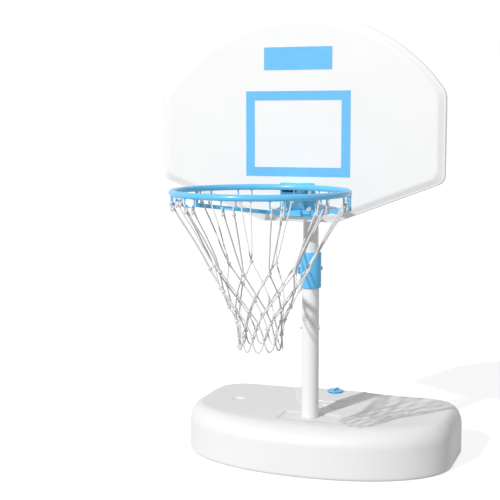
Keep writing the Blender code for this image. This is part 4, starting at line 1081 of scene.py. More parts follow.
def make_clamp_sleeve():
    """The split sleeve at the joint of the tubes, with its two ears."""
    low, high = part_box("clamp_sleeve")
    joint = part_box("lower_post")[1].z
    sleeve = cylinder("clamp_body", high.x, low.z, high.z, 80)
    softened(sleeve, CLAMP_EDGE, steps=3)
    ears = block(
        "clamp_ears",
        (-CLAMP_EAR_HALF_WIDTH, 0, low.z + CLAMP_EAR_INSET),
        (CLAMP_EAR_HALF_WIDTH, high.y, high.z - CLAMP_EAR_INSET),
    )
    softened(ears, CLAMP_EAR_ROUNDING, steps=4)
    carved(sleeve, ears, "UNION")
    bottom = low.z - LONG_CUT
    top = high.z + LONG_CUT
    carved(sleeve, cylinder("lower_bore", POST_RADIUS + GAP, bottom, joint + GAP, TUBE_SIDES))
    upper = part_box("upper_post")[1].x + SLIDE_CLEARANCE
    carved(sleeve, cylinder("upper_bore", upper, joint - CUT, top, TUBE_SIDES))
    half = CLAMP_SLIT / 2
    carved(sleeve, block("slit", (-half, 0, bottom), (half, high.y + LONG_CUT, top)))
    across = Matrix.Translation((0, CLAMP_AXIS_Y, CLAMP_AXIS_Z)) @ ALONG_X
    hole = cylinder("stud_hole", STUD_RADIUS + GAP, -STUD_HOLE_REACH, STUD_HOLE_REACH, 32)
    carved(sleeve, place(hole, across))
    softened(sleeve, CLAMP_CUT_EDGE, angle=50)
    dressed(sleeve, BLUE_PLASTIC, "base", ["clamp_sleeve"])


def thread(radius, start, end):
    """A profile's zigzag of thread ridges down to a bolt's tip, from its full radius."""
    points = []
    count = max(round((start - end) / THREAD_PITCH), 1)
    pitch = (start - end) / count
    for i in range(count):
        points.append((radius, start - pitch * (i + THREAD_CREST)))
        points.append((radius - THREAD_DEPTH, start - pitch * (i + THREAD_ROOT)))
    points.append((radius - THREAD_DEPTH, end))
    return points


def make_knob():
    """The lobed knob and its stud across the ears."""
    low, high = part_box("clamp_knob")
    thickness = high.x - low.x - KNOB_HUB_LENGTH
    knob = cylinder("knob", KNOB_RADIUS, 0, thickness, 100)
    for i in range(KNOB_LOBES):
        angle = 2 * math.pi * (i + 0.5) / KNOB_LOBES
        reach = KNOB_RADIUS + KNOB_SCALLOP * KNOB_SCALLOP_OUTSET
        hollow = cylinder("scallop", KNOB_SCALLOP, -CUT, thickness + CUT, 48)
        place(hollow, Matrix.Translation((reach * math.cos(angle), reach * math.sin(angle), 0)))
        carved(knob, hollow)
    softened(knob, KNOB_ROUNDING, steps=4, angle=40)
    carved(knob, turned("knob_dish", [(radius, thickness + rise) for radius, rise in KNOB_DISH], 64))
    hub = cylinder("knob_hub", KNOB_HUB_RADIUS, -KNOB_HUB_LENGTH, KNOB_HUB_OVERLAP)
    softened(hub, KNOB_HUB_EDGE)
    carved(knob, hub, "UNION")
    outward = Matrix.Translation((low.x + thickness, CLAMP_AXIS_Y, CLAMP_AXIS_Z)) @ ALONG_X.inverted()
    place(knob, outward)
    dressed(knob, BLUE_PLASTIC, "knob", ["clamp_knob"], 50)

    low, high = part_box("clamp_stud")
    length = high.x - low.x
    profile = [(0, length), (STUD_RADIUS - STUD_TIP, length), (STUD_RADIUS, length - STUD_TIP)]
    profile += [(STUD_RADIUS, STUD_THREADED)] + thread(STUD_RADIUS, STUD_THREADED, 0) + [(0, 0)]
    stud = turned("stud", profile, 32)
    place(stud, Matrix.Translation((high.x, CLAMP_AXIS_Y, CLAMP_AXIS_Z)) @ ALONG_X.inverted())
    dressed(stud, ZINC, "knob", ["clamp_stud"], 60)


def spans(node):
    """The lowest corner, the middle and the highest corner of a node's box."""
    low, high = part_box(node)
    return low, (low + high) / 2, high


def nut_pattern():
    """A chamfered hexagon nut that stands on height 0."""
    low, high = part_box("stop_nut")
    height = high.x - low.x
    nut = cylinder("nut_pattern", NUT_RADIUS, 0, height, 6)
    flat = NUT_RADIUS * math.cos(math.pi / 6)
    outer = NUT_RADIUS + NUT_TURNING
    profile = [(0, height), (flat, height), (outer, height - NUT_CHAMFER)]
    profile += [(outer, NUT_CHAMFER), (flat, 0), (0, 0)]
    carved(nut, turned("chamfer", profile), "INTERSECT")
    carved(nut, cylinder("bore", BOLT_RADIUS + GAP, -CUT, height + CUT, 32))
    return nut


def make_nuts():
    """The nuts of the stop bolt, the clamp, both straps and the rim."""
    pattern = nut_pattern()
    for node, body in (
        ("stop_nut", "base"),
        ("clamp_nut", "base"),
        ("lower_strap_nut", "carriage"),
        ("upper_strap_nut", "carriage"),
        ("rim_nut_lower_left", "carriage"),
        ("rim_nut_lower_right", "carriage"),
        ("rim_nut_upper_left", "carriage"),
        ("rim_nut_upper_right", "carriage"),
    ):
        low, middle, high = spans(node)
        if node.startswith("rim"):
            at = Matrix.Translation((middle.x, low.y, middle.z)) @ TOWARDS_BACK
        elif middle.x > 0:
            at = Matrix.Translation((low.x, middle.y, middle.z)) @ ALONG_X
        else:
            at = Matrix.Translation((high.x, middle.y, middle.z)) @ ALONG_X.inverted()
        nut = copied(pattern, f"{node}_hexagon", at)
        dressed(nut, ZINC, body, [node], 25)
    discard(pattern)


def bolt_pattern(name, head, length):
    """A dome-headed bolt whose head stands on height 0 and whose threaded shank runs down."""
    profile = [(0, HEAD_HEIGHT)]
    for step in range(1, HEAD_STEPS):
        angle = math.radians(90 * step / HEAD_STEPS)
        rise = HEAD_HEIGHT * (HEAD_SKIRT + (1 - HEAD_SKIRT) * math.cos(angle))
        profile.append((head * math.sin(angle), rise))
    plain = length * BOLT_THREADED - length
    profile += [(head, HEAD_HEIGHT * HEAD_SKIRT), (head, 0), (BOLT_RADIUS, 0), (BOLT_RADIUS, plain)]
    profile += thread(BOLT_RADIUS, plain, -length) + [(0, -length)]
    return turned(name, profile, 40)


def make_bolts():
    """The rim's four bolts and the three bolts across the post."""
    for node, body in (
        ("stop_bolt", "base"),
        ("lower_strap_bolt", "carriage"),
        ("upper_strap_bolt", "carriage"),
    ):
        low, middle, high = spans(node)
        bolt = bolt_pattern(f"{node}_dome", (high.z - low.z) / 2, high.x - low.x - HEAD_HEIGHT)
        place(bolt, Matrix.Translation((high.x - HEAD_HEIGHT, middle.y, middle.z)) @ ALONG_X)
        dressed(bolt, ZINC, body, [node], 50)
    low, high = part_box("rim_bolt_lower_left")
    pattern = bolt_pattern("rim_bolt_pattern", (high.z - low.z) / 2, high.y - low.y - HEAD_HEIGHT)
    for row in ("lower", "upper"):
        for side in ("left", "right"):
            node = f"rim_bolt_{row}_{side}"
            low, middle, high = spans(node)
            at = Matrix.Translation((middle.x, low.y + HEAD_HEIGHT, middle.z)) @ TOWARDS_FRONT
            bolt = copied(pattern, f"{node}_dome", at)
            dressed(bolt, ZINC, "carriage", [node], 50)
    discard(pattern)


def make_screws():
    """The four pan-headed screws through the upper strap into the board, with a cross in each head."""
    low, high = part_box("board_screw_lower_left")
    head = (high.x - low.x) / 2
    radius = head / SCREW_HEAD
    rise = radius * SCREW_HEAD_HEIGHT
    length = high.y - low.y - rise
    neck = -length * SCREW_NECK
    profile = [(0, rise)] + [(head * out, rise * up) for out, up in SCREW_DOME]
    profile += [(head, 0), (radius, 0), (radius, neck)] + thread(radius, neck, -length) + [(0, -length)]
    pattern = turned("screw_pattern", profile, 32)
    floor, top = (rise * share for share in SCREW_CROSS_DEPTH)
    long, short = (head * share for share in SCREW_CROSS)
    for wide, deep in ((long, short), (short, long)):
        carved(pattern, block("cross", (-wide, -deep, floor), (wide, deep, top)))
    for row in ("lower", "upper"):
        for side in ("left", "right"):
            node = f"board_screw_{row}_{side}"
            low, middle, high = spans(node)
            at = Matrix.Translation((middle.x, high.y - rise, middle.z)) @ TOWARDS_BACK
            screw = copied(pattern, f"{node}_pan_head", at)
            dressed(screw, ZINC, "carriage", [node], 50)
    discard(pattern)


def make_fill_cap():
    """The screw cap with a notched rim and a grip bar, and the seal under it."""
    low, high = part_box("fill_cap")
    gasket_low, gasket_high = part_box("cap_gasket")
    radius = (high.x - low.x) / 2
    under = gasket_high.z + GAP
    face = under + CAP_FLANGE
    inner = CAP_SPIGOT_RADIUS - CAP_WALL
    bend = CAP_EDGE_BEND * CAP_EDGE
    rim = face - CAP_DISC_RISE
    profile = [
        (0, face),
        (radius * CAP_DISC, face),
        (radius * CAP_DISC_FOOT, rim),
        (radius - CAP_EDGE, rim),
        (radius - bend, rim - bend),
        (radius, rim - CAP_EDGE),
        (radius, under + CAP_LOWER_EDGE),
        (radius - CAP_LOWER_EDGE, under),
        (CAP_SPIGOT_RADIUS, under),
    ]
    pitch = (under - low.z - CAP_THREAD_END) / CAP_THREADS
    for i in range(CAP_THREADS):
        z = under - CAP_THREAD_START - i * pitch
        for depth, share in CAP_THREAD_TURN:
            profile.append((CAP_SPIGOT_RADIUS - CAP_THREAD_DEPTH * depth, z - pitch * share))
    profile += [(CAP_SPIGOT_RADIUS - CAP_THREAD_DEPTH, low.z), (inner, low.z), (inner, under), (0, under)]
    cap = turned("cap_body", profile, TUBE_SIDES)
    notch = cylinder("notch_pattern", CAP_NOTCH_RADIUS, under - CUT, face + CUT, 12)
    notches = []
    for i in range(CAP_NOTCHES):
        turn = Matrix.Rotation(2 * math.pi * i / CAP_NOTCHES, 4, "Z")
        outward = Matrix.Translation((radius + CAP_NOTCH_OUTSET, 0, 0))
        notches.append(copied(notch, "notch", turn @ outward))
    discard(notch)
    carved(cap, gathered("notches", notches))
    half = radius - CAP_GRIP_MARGIN
    thick = CAP_GRIP_THICKNESS / 2
    grip = block("cap_grip", (-half, -thick, face - CAP_GRIP_SINK), (half, thick, high.z))
    softened(grip, CAP_GRIP_ROUNDING, steps=4)
    place(grip, Matrix.Rotation(CAP_GRIP_TURN, 4, "Z"))
    carved(cap, grip, "UNION")
    place(cap, Matrix.Translation((0, CAP_Y, 0)))
    dressed(cap, BLUE_PLASTIC, "cap", ["fill_cap"], 30)

    outer = gasket_high.x
    inner = CAP_SPIGOT_RADIUS + GAP
    profile = [
        (outer - SEAL_EDGE, gasket_high.z),
        (outer, gasket_high.z - SEAL_EDGE),
        (outer, gasket_low.z + SEAL_EDGE),
        (outer - SEAL_EDGE, gasket_low.z),
        (inner, gasket_low.z),
        (inner, gasket_high.z),
    ]
    seal = turned("cap_seal_ring", profile, TUBE_SIDES, closed=True)
    place(seal, Matrix.Translation((0, CAP_Y, 0)))
    dressed(seal, SEAL_RUBBER, "cap_seal", ["cap_gasket"])


def rounded_path(points, radius, steps=6):
    """A path through the points with each inner corner rounded."""
    path = [Vector(points[0])]
    for before, corner, after in zip(points, points[1:], points[2:]):
        corner = Vector(corner)
        back = (Vector(before) - corner).normalized()
        ahead = (Vector(after) - corner).normalized()
        half = back.angle(ahead) / 2
        reach = radius / math.tan(half)
        middle = corner + (back + ahead).normalized() * radius / math.sin(half)
        first = (corner + back * reach - middle).normalized()
        last = (corner + ahead * reach - middle).normalized()
        for i in range(steps + 1):
            path.append(middle + radius * first.slerp(last, i / steps))
    path.append(Vector(points[-1]))
    return path


def board_outline(rounder=0.0):
    """The board's outline as (x, z) points, from the middle of its lower edge round and back."""
    half_width = board_high.x
    radius = (half_width**2 + BOARD_ARCH_RISE**2) / (2 * BOARD_ARCH_RISE)
    centre = (0, board_high.z - radius)
    slope = math.tan(BOARD_SLANT)
    low = (half_width, board_low.z + (half_width - BOARD_FLAT_HALF_WIDTH) * slope)
    high = (half_width, board_high.z - BOARD_ARCH_RISE)
    spring = math.atan2(high[1] - centre[1], high[0]) + BOARD_UPPER_CORNER_SWEEP
    arch = arc(centre, radius, math.degrees(spring), 90, 36)
    corners = [(0, board_low.z, 0), (BOARD_FLAT_HALF_WIDTH, board_low.z, 0), (*low, 0), (*high, 0)]
    level = rounded_path([corners[0], corners[1], corners[2]], BOARD_FLAT_CORNER, 6)[:-1]
    lower = rounded_path([corners[1], corners[2], corners[3]], BOARD_LOWER_CORNER + rounder, 12)[1:-1]
    upper = rounded_path([corners[2], corners[3], (*arch[0], 0)], BOARD_UPPER_CORNER + rounder, 8)[1:-1]
    half = [(p.x, p.y) for p in level + lower + upper] + arch
    half[-1] = (0, board_high.z)
    return mirrored(half)


def drawn_in(outline, width):
    """A convex outline drawn in by a width along each point's own normal."""
    count = len(outline)
    points = []
    for i, point in enumerate(outline):
        before = Vector(outline[i - 1]) - Vector(point)
        after = Vector(outline[(i + 1) % count]) - Vector(point)
        tangent = (after.normalized() - before.normalized()).normalized()
        normal = Vector((-tangent.y, tangent.x))
        half = before.angle(after) / 2
        points.append(tuple(Vector(point) + normal * width / math.sin(half)))
    return points


def stood_up(outline, y):
    """An (x, z) outline stood up at a depth."""
    return [(x, y, z) for x, z in outline]


def level(node):
    """The height of a node's middle."""
    low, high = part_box(node)
    return (low.z + high.z) / 2


def ribs_and_pads():
    """The board's ribs, and its pads for the rim's bolts and the strap's screws, before they are cut."""
    front = board_low.y + BOARD_SKIN / 2
    back = board_high.y - BOARD_RIB_RECESS
    half = BOARD_RIB / 2
    ribs = []
    for i in range(-BOARD_SIDE_RIBS, BOARD_SIDE_RIBS + 1):
        x = i * BOARD_RIB_PITCH
        ribs.append(block("rib", (x - half, front, board_low.z), (x + half, back, board_high.z)))
    for i in range(BOARD_LEVEL_RIBS):
        z = board_high.z - (i + BOARD_FIRST_RIB) * BOARD_RIB_PITCH
        ribs.append(block("rib", (board_low.x, front, z - half), (board_high.x, back, z + half)))
    for fastener in ("rim_bolt", "board_screw"):
        low = level(f"{fastener}_lower_left") - PAD_MARGIN
        high = level(f"{fastener}_upper_left") + PAD_MARGIN
        ribs.append(block("pad", (-PAD_HALF_WIDTH, front, low), (PAD_HALF_WIDTH, board_high.y, high)))
    return ribs


def make_board():
    """The backboard: a bevelled tray with ribs and two solid pads behind its face."""
    outline = board_outline()
    face = board_outline(BOARD_BEVEL_SOFTENING)
    front = board_low.y
    back = board_high.y
    foot = front + BOARD_BEVEL_DEPTH
    profile = [(face, BOARD_BEVEL + inset, front + depth) for inset, depth in BOARD_FACE_EDGE]
    profile += [(outline, BOARD_LIP + inset, foot + depth) for inset, depth in BOARD_FOOT_EDGE]
    for i in range(BOARD_LIP_STEPS + 1):
        angle = math.radians(90 * i / BOARD_LIP_STEPS)
        inset = BOARD_LIP * (1 - math.sin(angle))
        profile.append((outline, inset, foot + BOARD_LIP * (1 - math.cos(angle))))
    profile += [(outline, 0, back), (outline, BOARD_WALL, back)]
    profile.append((outline, BOARD_WALL, foot + BOARD_FOOT_SKIN))
    profile += [(face, BOARD_BEVEL + inset, front + depth) for inset, depth in BOARD_INSIDE_EDGE]
    board = wrapped("board_tray", [stood_up(drawn_in(shape, inset), y) for shape, inset, y in profile])
    softened(board, BOARD_EDGE, steps=3, angle=30)
    at_face, behind_face = RIB_SPACE_FACE
    at_foot, behind_foot = RIB_SPACE_FOOT
    at_wall, behind_wall = RIB_SPACE_WALL
    clipped = []
    for rib in ribs_and_pads():
        space = wrapped("rib_space", [
            stood_up(drawn_in(face, BOARD_BEVEL + at_face), front + behind_face),
            stood_up(drawn_in(outline, at_foot), foot + behind_foot),
            stood_up(drawn_in(outline, at_wall), foot + behind_wall),
            stood_up(drawn_in(outline, at_wall), back),
        ])
        carved(rib, space, "INTERSECT")
        clipped.append(softened(rib, BOARD_RIB_EDGE))
    board = gathered("board_tray", [board, *clipped])
    dressed(board, WHITE_BOARD, "carriage", ["backboard"], 30)


def folded_strip(name, path, height, thickness):
    """A flat bar on edge: a line at its lower edge, drawn up and given its thickness."""
    bar = drawn_line(name, path)
    edit(bar)
    bpy.ops.mesh.select_all(action="SELECT")
    bpy.ops.mesh.extrude_edges_move(TRANSFORM_OT_translate={"value": (0, 0, height)})
    bpy.ops.mesh.select_all(action="SELECT")
    bpy.ops.mesh.normals_make_consistent(inside=False)
    leave()
    return applied(bar, "SOLIDIFY", thickness=thickness, offset=0, use_even_offset=True)


def make_straps():
    """The two steel straps round the post that carry the board."""
    for node in ("lower_strap", "upper_strap"):
        low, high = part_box(node)
        half = STRAP_THICKNESS / 2
        flange = low.y + half
        wrap = high.y - half
        corners = [
            (low.x, flange, low.z),
            (-wrap, flange, low.z),
            (-wrap, wrap, low.z),
            (wrap, wrap, low.z),
            (wrap, flange, low.z),
            (high.x, flange, low.z),
        ]
        path = rounded_path(corners, STRAP_BEND)
        strap = folded_strip(f"{node}_plate", path, high.z - low.z, STRAP_THICKNESS)
        softened(strap, STRAP_EDGE, steps=3, angle=50)
        dressed(strap, WHITE_PAINT, "carriage", [node], 50)


def on_rim(angle, outset, z):
    """A point at an angle round the rim, outside the middle of its tube."""
    reach = RIM_RADIUS + outset
    return Vector((reach * math.cos(angle), RIM_CENTRE.y + reach * math.sin(angle), z))


def round_rim(angle):
    """The direction round the rim at an angle."""
    return Vector((-math.sin(angle), math.cos(angle), 0))


def ring(name, tube_radius, sides=RING_SIDES):
    """A ring in the rim's place with the given tube radius."""
    section = arc((RIM_RADIUS, 0), tube_radius, 0, 360 - 360 / RING_SECTION, RING_SECTION - 1)
    made = turned(name, section, sides, closed=True)
    return place(made, Matrix.Translation(RIM_CENTRE))


def weld_bead(path, radius=WELD_RADIUS):
    """A weld: overlapping flat drops along a path."""
    clear_selection()
    bpy.ops.mesh.primitive_ico_sphere_add(subdivisions=2, radius=radius)
    drop = settled("weld_drop")
    drops = []
    for start, end in zip(path, path[1:]):
        run = Vector(end) - Vector(start)
        count = max(round(run.length / WELD_PITCH), 1)
        for i in range(count):
            spot = Vector(start) + run * (i + 0.5) / count
            tip = run.to_track_quat("X", "Z").to_matrix().to_4x4() @ Matrix.Rotation(WELD_TILT, 4, "Y")
            flat = Matrix.Diagonal(WELD_DROP)
            drops.append(copied(drop, "weld_drop", Matrix.Translation(spot) @ tip @ flat))
    discard(drop)
    return gathered("weld_bead", drops)


def make_ring():
    """The steel ring, with the welds of the hooks' feet."""
    rim = ring("ring_tube", RIM_TUBE)
    beads = []
    for i in range(HOOK_COUNT):
        angle = 2 * math.pi * i / HOOK_COUNT
        tangent = round_rim(angle)
        reach = tangent * HOOK_WELD_HALF_LENGTH
        for side in (-1, 1):
            foot = on_rim(angle, 0, ring_low.z + HOOK_WELD_RISE) + tangent * side * HOOK_HALF_WIDTH
            beads.append(weld_bead([foot - reach, foot + reach], HOOK_WELD_RADIUS))
    rim = gathered("ring_tube", [rim, *beads])
    dressed(rim, BLUE_PAINT, "carriage", ["rim_ring"], 45)


def sloped_plate(name, outline, x, thickness):
    """A plate stood up along the YZ plane, half its thickness each side of x."""
    half = thickness / 2
    return wrapped(name, [[(x + side * half, y, z) for y, z in outline] for side in (-1, 1)])


def make_bracket():
    """The rim's welded bracket: back plate, tongue, gussets and the sloping web between them."""
    low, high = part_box("rim_bracket")
    front = high.y - BRACKET_PLATE
    half = BRACKET_PLATE / 2
    root = front + half
    rim_back = RIM_CENTRE.y + RIM_RADIUS
    bracket = block("bracket_plates", (low.x, front, low.z), (high.x, high.y, high.z))
    edit(bracket)
    pick("edges", lambda edge: abs(edge.verts[0].co.y - edge.verts[1].co.y) > half)
    bpy.ops.mesh.bevel(offset=BRACKET_CORNER, segments=6)
    leave()
    wide = TONGUE_HALF_WIDTH
    tongue = block("tongue", (-wide, rim_back, RIM_Z - half), (wide, root, RIM_Z + half))
    carved(bracket, tongue, "UNION")
    nose = rim_back + RIM_TUBE + GUSSET_TO_RING
    foot = RIM_Z - GUSSET_DEPTH
    lip = RIM_Z - GUSSET_FRONT_DEPTH
    for side in (-1, 1):
        outline = [(root, foot), (root, RIM_Z), (nose, RIM_Z), (nose, lip)]
        carved(bracket, sloped_plate("gusset", outline, side * GUSSET_X, BRACKET_PLATE), "UNION")
    start = Vector((root, foot + BRACKET_PLATE))
    run = Vector((nose, lip + BRACKET_PLATE)) - start
    end = start + run * (1 - WEB_SLOT / run.length)
    across = run.orthogonal().normalized() * half
    web = [tuple(p) for p in (start - across, end - across, end + across, start + across)]
    carved(bracket, sloped_plate("web", web, 0, 2 * GUSSET_X), "UNION")
    carved(bracket, ring("clearance", RIM_TUBE + WELD_GAP, TOOL_RING_SIDES))
    mouth = cylinder("open_mouth", RIM_RADIUS, -MOUTH_REACH, MOUTH_REACH, TOOL_RING_SIDES)
    carved(bracket, place(mouth, Matrix.Translation(RIM_CENTRE)))
    softened(bracket, BRACKET_EDGE, angle=40)
    beads = []
    weld_y = front - WELD_OUTSET
    for side in (-1, 1):
        for edge in (-1, 1):
            x = side * GUSSET_X + edge * (half + WELD_OUTSET)
            beads.append(weld_bead([(x, weld_y, foot + WELD_INSET), (x, weld_y, RIM_Z - WELD_INSET)]))
    reach = TONGUE_HALF_WIDTH - WELD_INSET
    spread = math.asin(reach / RIM_RADIUS)
    for up in (-1, 1):
        z = RIM_Z + up * (half + WELD_OUTSET)
        if up > 0:
            beads.append(weld_bead([(-reach, weld_y, z), (reach, weld_y, z)]))
        angles = [math.pi / 2 + (2 * i / RIM_WELD_STEPS - 1) * spread for i in range(RIM_WELD_STEPS + 1)]
        beads.append(weld_bead([on_rim(angle, RIM_TUBE - RIM_WELD_SINK, z) for angle in angles]))
    bracket = gathered("bracket_plates", [bracket, *beads])
    dressed(bracket, BLUE_PAINT, "carriage", ["rim_bracket"], 40)


def make_brace():
    """The flat bar from one side of the ring, under the bracket's front, to the other side."""
    low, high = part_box("rim_bracket")
    half = high.x - BRACE_INSET
    front = high.y - BRACKET_PLATE - GAP - BRACE_THICKNESS / 2
    low_at_plate = low.z + BRACE_ABOVE_PLATE_END - BRACE_HEIGHT / 2
    low_at_leg = RIM_Z - BRACE_BELOW_RIM - BRACE_HEIGHT / 2
    left = on_rim(math.pi - BRACE_ANGLE, BRACE_OUTSET, low_at_leg)
    right = on_rim(BRACE_ANGLE, BRACE_OUTSET, low_at_leg)
    corners = [left, (-half, front, low_at_plate), (half, front, low_at_plate), right]
    path = rounded_path(corners, BRACE_BEND, 8)
    brace = folded_strip("brace_bar", path, BRACE_HEIGHT, BRACE_THICKNESS)
    for end, onward in ((path[0], path[1]), (path[-1], path[-2])):
        inner = end + (onward - end).normalized() * BRACE_LEG
        leg = folded_strip("brace_leg", [end, inner], RIM_Z - end.z - BRACE_LEG_BELOW_RIM, BRACE_THICKNESS)
        carved(brace, leg, "UNION")
    carved(brace, ring("saddle", RIM_TUBE + WELD_GAP, TOOL_RING_SIDES))
    softened(brace, BRACE_EDGE, angle=40)
    beads = []
    for side in (-1, 1):
        angle = BRACE_ANGLE if side > 0 else math.pi - BRACE_ANGLE
        outer = on_rim(angle, BRACE_OUTSET + BRACE_THICKNESS / 2, RIM_Z - BRACE_WELD_BELOW_RIM)
        tangent = round_rim(angle) * side
        beads.append(weld_bead([outer, outer + tangent * BRACE_LEG]))
    brace = gathered("brace_bar", [brace, *beads])
    dressed(brace, BLUE_PAINT, "carriage", ["rim_brace"], 40)


def bent_wire(name, radius, start, moves):
    """A round wire in the XZ plane that sets out downwards; each move is a run's length or a bend's radius
    and its angle in degrees."""
    clear_selection()
    bpy.ops.mesh.primitive_circle_add(vertices=16, radius=radius, location=start, fill_type="NGON")
    wire = settled(name)
    bpy.ops.object.mode_set(mode="EDIT")
    bpy.ops.mesh.select_all(action="SELECT")
    at = Vector(start)
    heading = Vector((0, 0, -1))
    for move in moves:
        if len(move) == 1:
            bpy.ops.mesh.extrude_region_move(TRANSFORM_OT_translate={"value": heading * move[0]})
            at += heading * move[0]
        else:
            turn = math.radians(move[1])
            inside = Vector((heading.z, 0, -heading.x))
            centre = at + inside * move[0]
            bpy.ops.mesh.spin(steps=8, angle=-turn, center=centre, axis=(0, 1, 0))
            swing = Matrix.Rotation(turn, 3, "Y")
            at = centre + swing @ (at - centre)
            heading = swing @ heading
    bpy.ops.mesh.select_all(action="SELECT")
    bpy.ops.mesh.remove_doubles(threshold=MERGE)
    bpy.ops.mesh.normals_make_consistent(inside=False)
    leave()
    return wire


def make_hooks():
    """One hook bent from wire and copied round the rim."""
    drop = ring_low.z - GAP - (hook_low.z + HOOK_WIRE_RADIUS)
    corner = (HOOK_BEND, 90)
    leg = (drop - HOOK_BEND,)
    moves = [leg, corner, (2 * (HOOK_HALF_WIDTH - HOOK_BEND),), corner, leg]
    start = (HOOK_HALF_WIDTH, 0, ring_low.z - GAP)
    pattern = bent_wire("hook_pattern", HOOK_WIRE_RADIUS, start, moves)
    for i in range(HOOK_COUNT):
        angle = 2 * math.pi * i / HOOK_COUNT
        node = f"net_hook_{i + 1:02d}"
        middle = on_rim(angle, 0, 0)
        at = Matrix.Translation(middle) @ Matrix.Rotation(angle + math.pi / 2, 4, "Z")
        hook = copied(pattern, f"{node}_wire", at)
        dressed(hook, BLUE_PAINT, "carriage", [node], 45)
    discard(pattern)


def cord(name, path, radius, sides=CORD_SIDES, closed=False):
    """A round cord along a path, with a UV map that runs along it and round it."""
    count = len(path)
    rings = []
    lengths = [0.0]
    across = None
    for i, point in enumerate(path):
        before = path[i - 1] if i or closed else point
        after = path[(i + 1) % count] if i < count - 1 or closed else point
        along = (after - before).normalized()
        if across is None:
            across = along.orthogonal().normalized()
        across = (across - along * across.dot(along)).normalized()
        up = along.cross(across)
        ring_points = []
        for side in range(sides):
            angle = 2 * math.pi * side / sides
            ring_points.append(point + radius * (across * math.cos(angle) + up * math.sin(angle)))
        rings.append(ring_points)
        if i:
            lengths.append(lengths[-1] + (point - path[i - 1]).length)
    piece = wrapped(name, rings)
    layer = piece.data.uv_layers.new(name="cord")
    order = ring_places(piece, rings)
    for face in piece.data.polygons:
        corners = [order[piece.data.loops[loop].vertex_index] for loop in face.loop_indices]
        wraps = {side for _, side in corners} >= {0, sides - 1}
        for loop, (row, side) in zip(face.loop_indices, corners):
            turn = 1 if wraps and side == 0 else side / sides
            layer.data[loop].uv = (lengths[row] / BRAID_PITCH, turn)
    return piece


def ring_places(piece, rings):
    """Each vertex's ring and its place on the ring, found by its position."""
    places = {}
    for row, points in enumerate(rings):
        for side, point in enumerate(points):
            places[tuple(round(value, 6) for value in point)] = (row, side)
    found = []
    for vert in piece.data.vertices:
        key = tuple(round(value, 6) for value in vert.co)
        found.append(places.get(key) or min(
            ((Vector(spot) - vert.co).length, where) for spot, where in places.items()
        )[1])
    return found


def net_point(step, radius, drop, aside=0.0):
    """A point of the net, with step counted in half spaces between hooks, and moved aside along the rim."""
    angle = math.pi * step / HOOK_COUNT
    point = Vector((radius * math.cos(angle), radius * math.sin(angle), -drop))
    return point + aside * round_rim(angle)


def eye_path(way):
    """A strand's eye: up the outside of the hook's wire, over it, and down its inside."""
    reach = HOOK_WIRE_RADIUS + GAP + NET_CORD / 2
    aside = way * NET_SPREAD
    path = [Vector((RIM_RADIUS + outside, aside + way * EYE_SKEW, rise)) for outside, rise in EYE_TAIL]
    for i in range(EYE_STEPS + 1):
        angle = math.radians(EYE_START + (EYE_FINISH - EYE_START) * i / EYE_STEPS)
        path.append(Vector((
            RIM_RADIUS + reach * math.cos(angle),
            aside + way * EYE_SKEW * (1 - 2 * i / EYE_STEPS),
            reach + reach * math.sin(angle),
        )))
    outside, rise = EYE_END
    path.append(Vector((RIM_RADIUS + outside, aside - way * EYE_SKEW, rise)))
    return path


def strand_path(way):
    """A strand from its eye on a hook down through the knots, one half space round at each row."""
    path = eye_path(way)
    first_radius, first_drop = NET_ROWS[0]
    start = RIM_RADIUS - STRAND_START_INSET
    for i in range(1, STRAND_STEPS):
        share = i / STRAND_STEPS
        sag = 4 * NET_SAG * share * (1 - share)
        reach = start + (first_radius - start) * share - sag
        drop = STRAND_START_DROP + (first_drop - STRAND_START_DROP) * share
        aside = way * (NET_SPREAD * (1 - share) + STRAND_SPREAD_AT_KNOT * share)
        path.append(net_point(0, reach, drop, aside))
    corners = [path.pop()]
    for row, (radius, drop) in enumerate(NET_ROWS):
        inner = way * NET_CORD * (STRAND_WEAVE if row % 2 else -STRAND_WEAVE)
        corners.append(net_point(way * row, radius + inner, drop))
    return path + rounded_path(corners, STRAND_BEND, 4)


def wound(middle, reach_x, reach_y, rise):
    """A cord's path wound round a place, with both ends tucked in."""
    count = KNOT_STEPS * KNOT_TURNS
    path = []
    for i in range(count + 1):
        angle = 2 * math.pi * KNOT_TURNS * i / count
        out = min(1.0, KNOT_TUCK + i / KNOT_TUCK_STEPS, KNOT_TUCK + (count - i) / KNOT_TUCK_STEPS)
        turn = Vector((reach_x * math.cos(angle), reach_y * math.sin(angle), 0)) * out
        path.append(middle + turn + Vector((0, 0, rise * (0.5 - i / count))))
    return path


def loop_path():
    """One of the lowest loops, from a knot of the last row down and up to the next knot."""
    reach, drop = NET_ROWS[-1]
    path = []
    for i in range(LOOP_STEPS + 1):
        angle = math.radians(-90 + 180 * i / LOOP_STEPS)
        share = math.cos(angle)
        step = math.sin(angle) * (1 - (1 - LOOP_WIDTH) * share)
        radius = reach + (NET_TIP_RADIUS - reach) * share
        path.append(net_point(step, radius, drop + (NET_TIP_DROP - drop) * share))
    return path


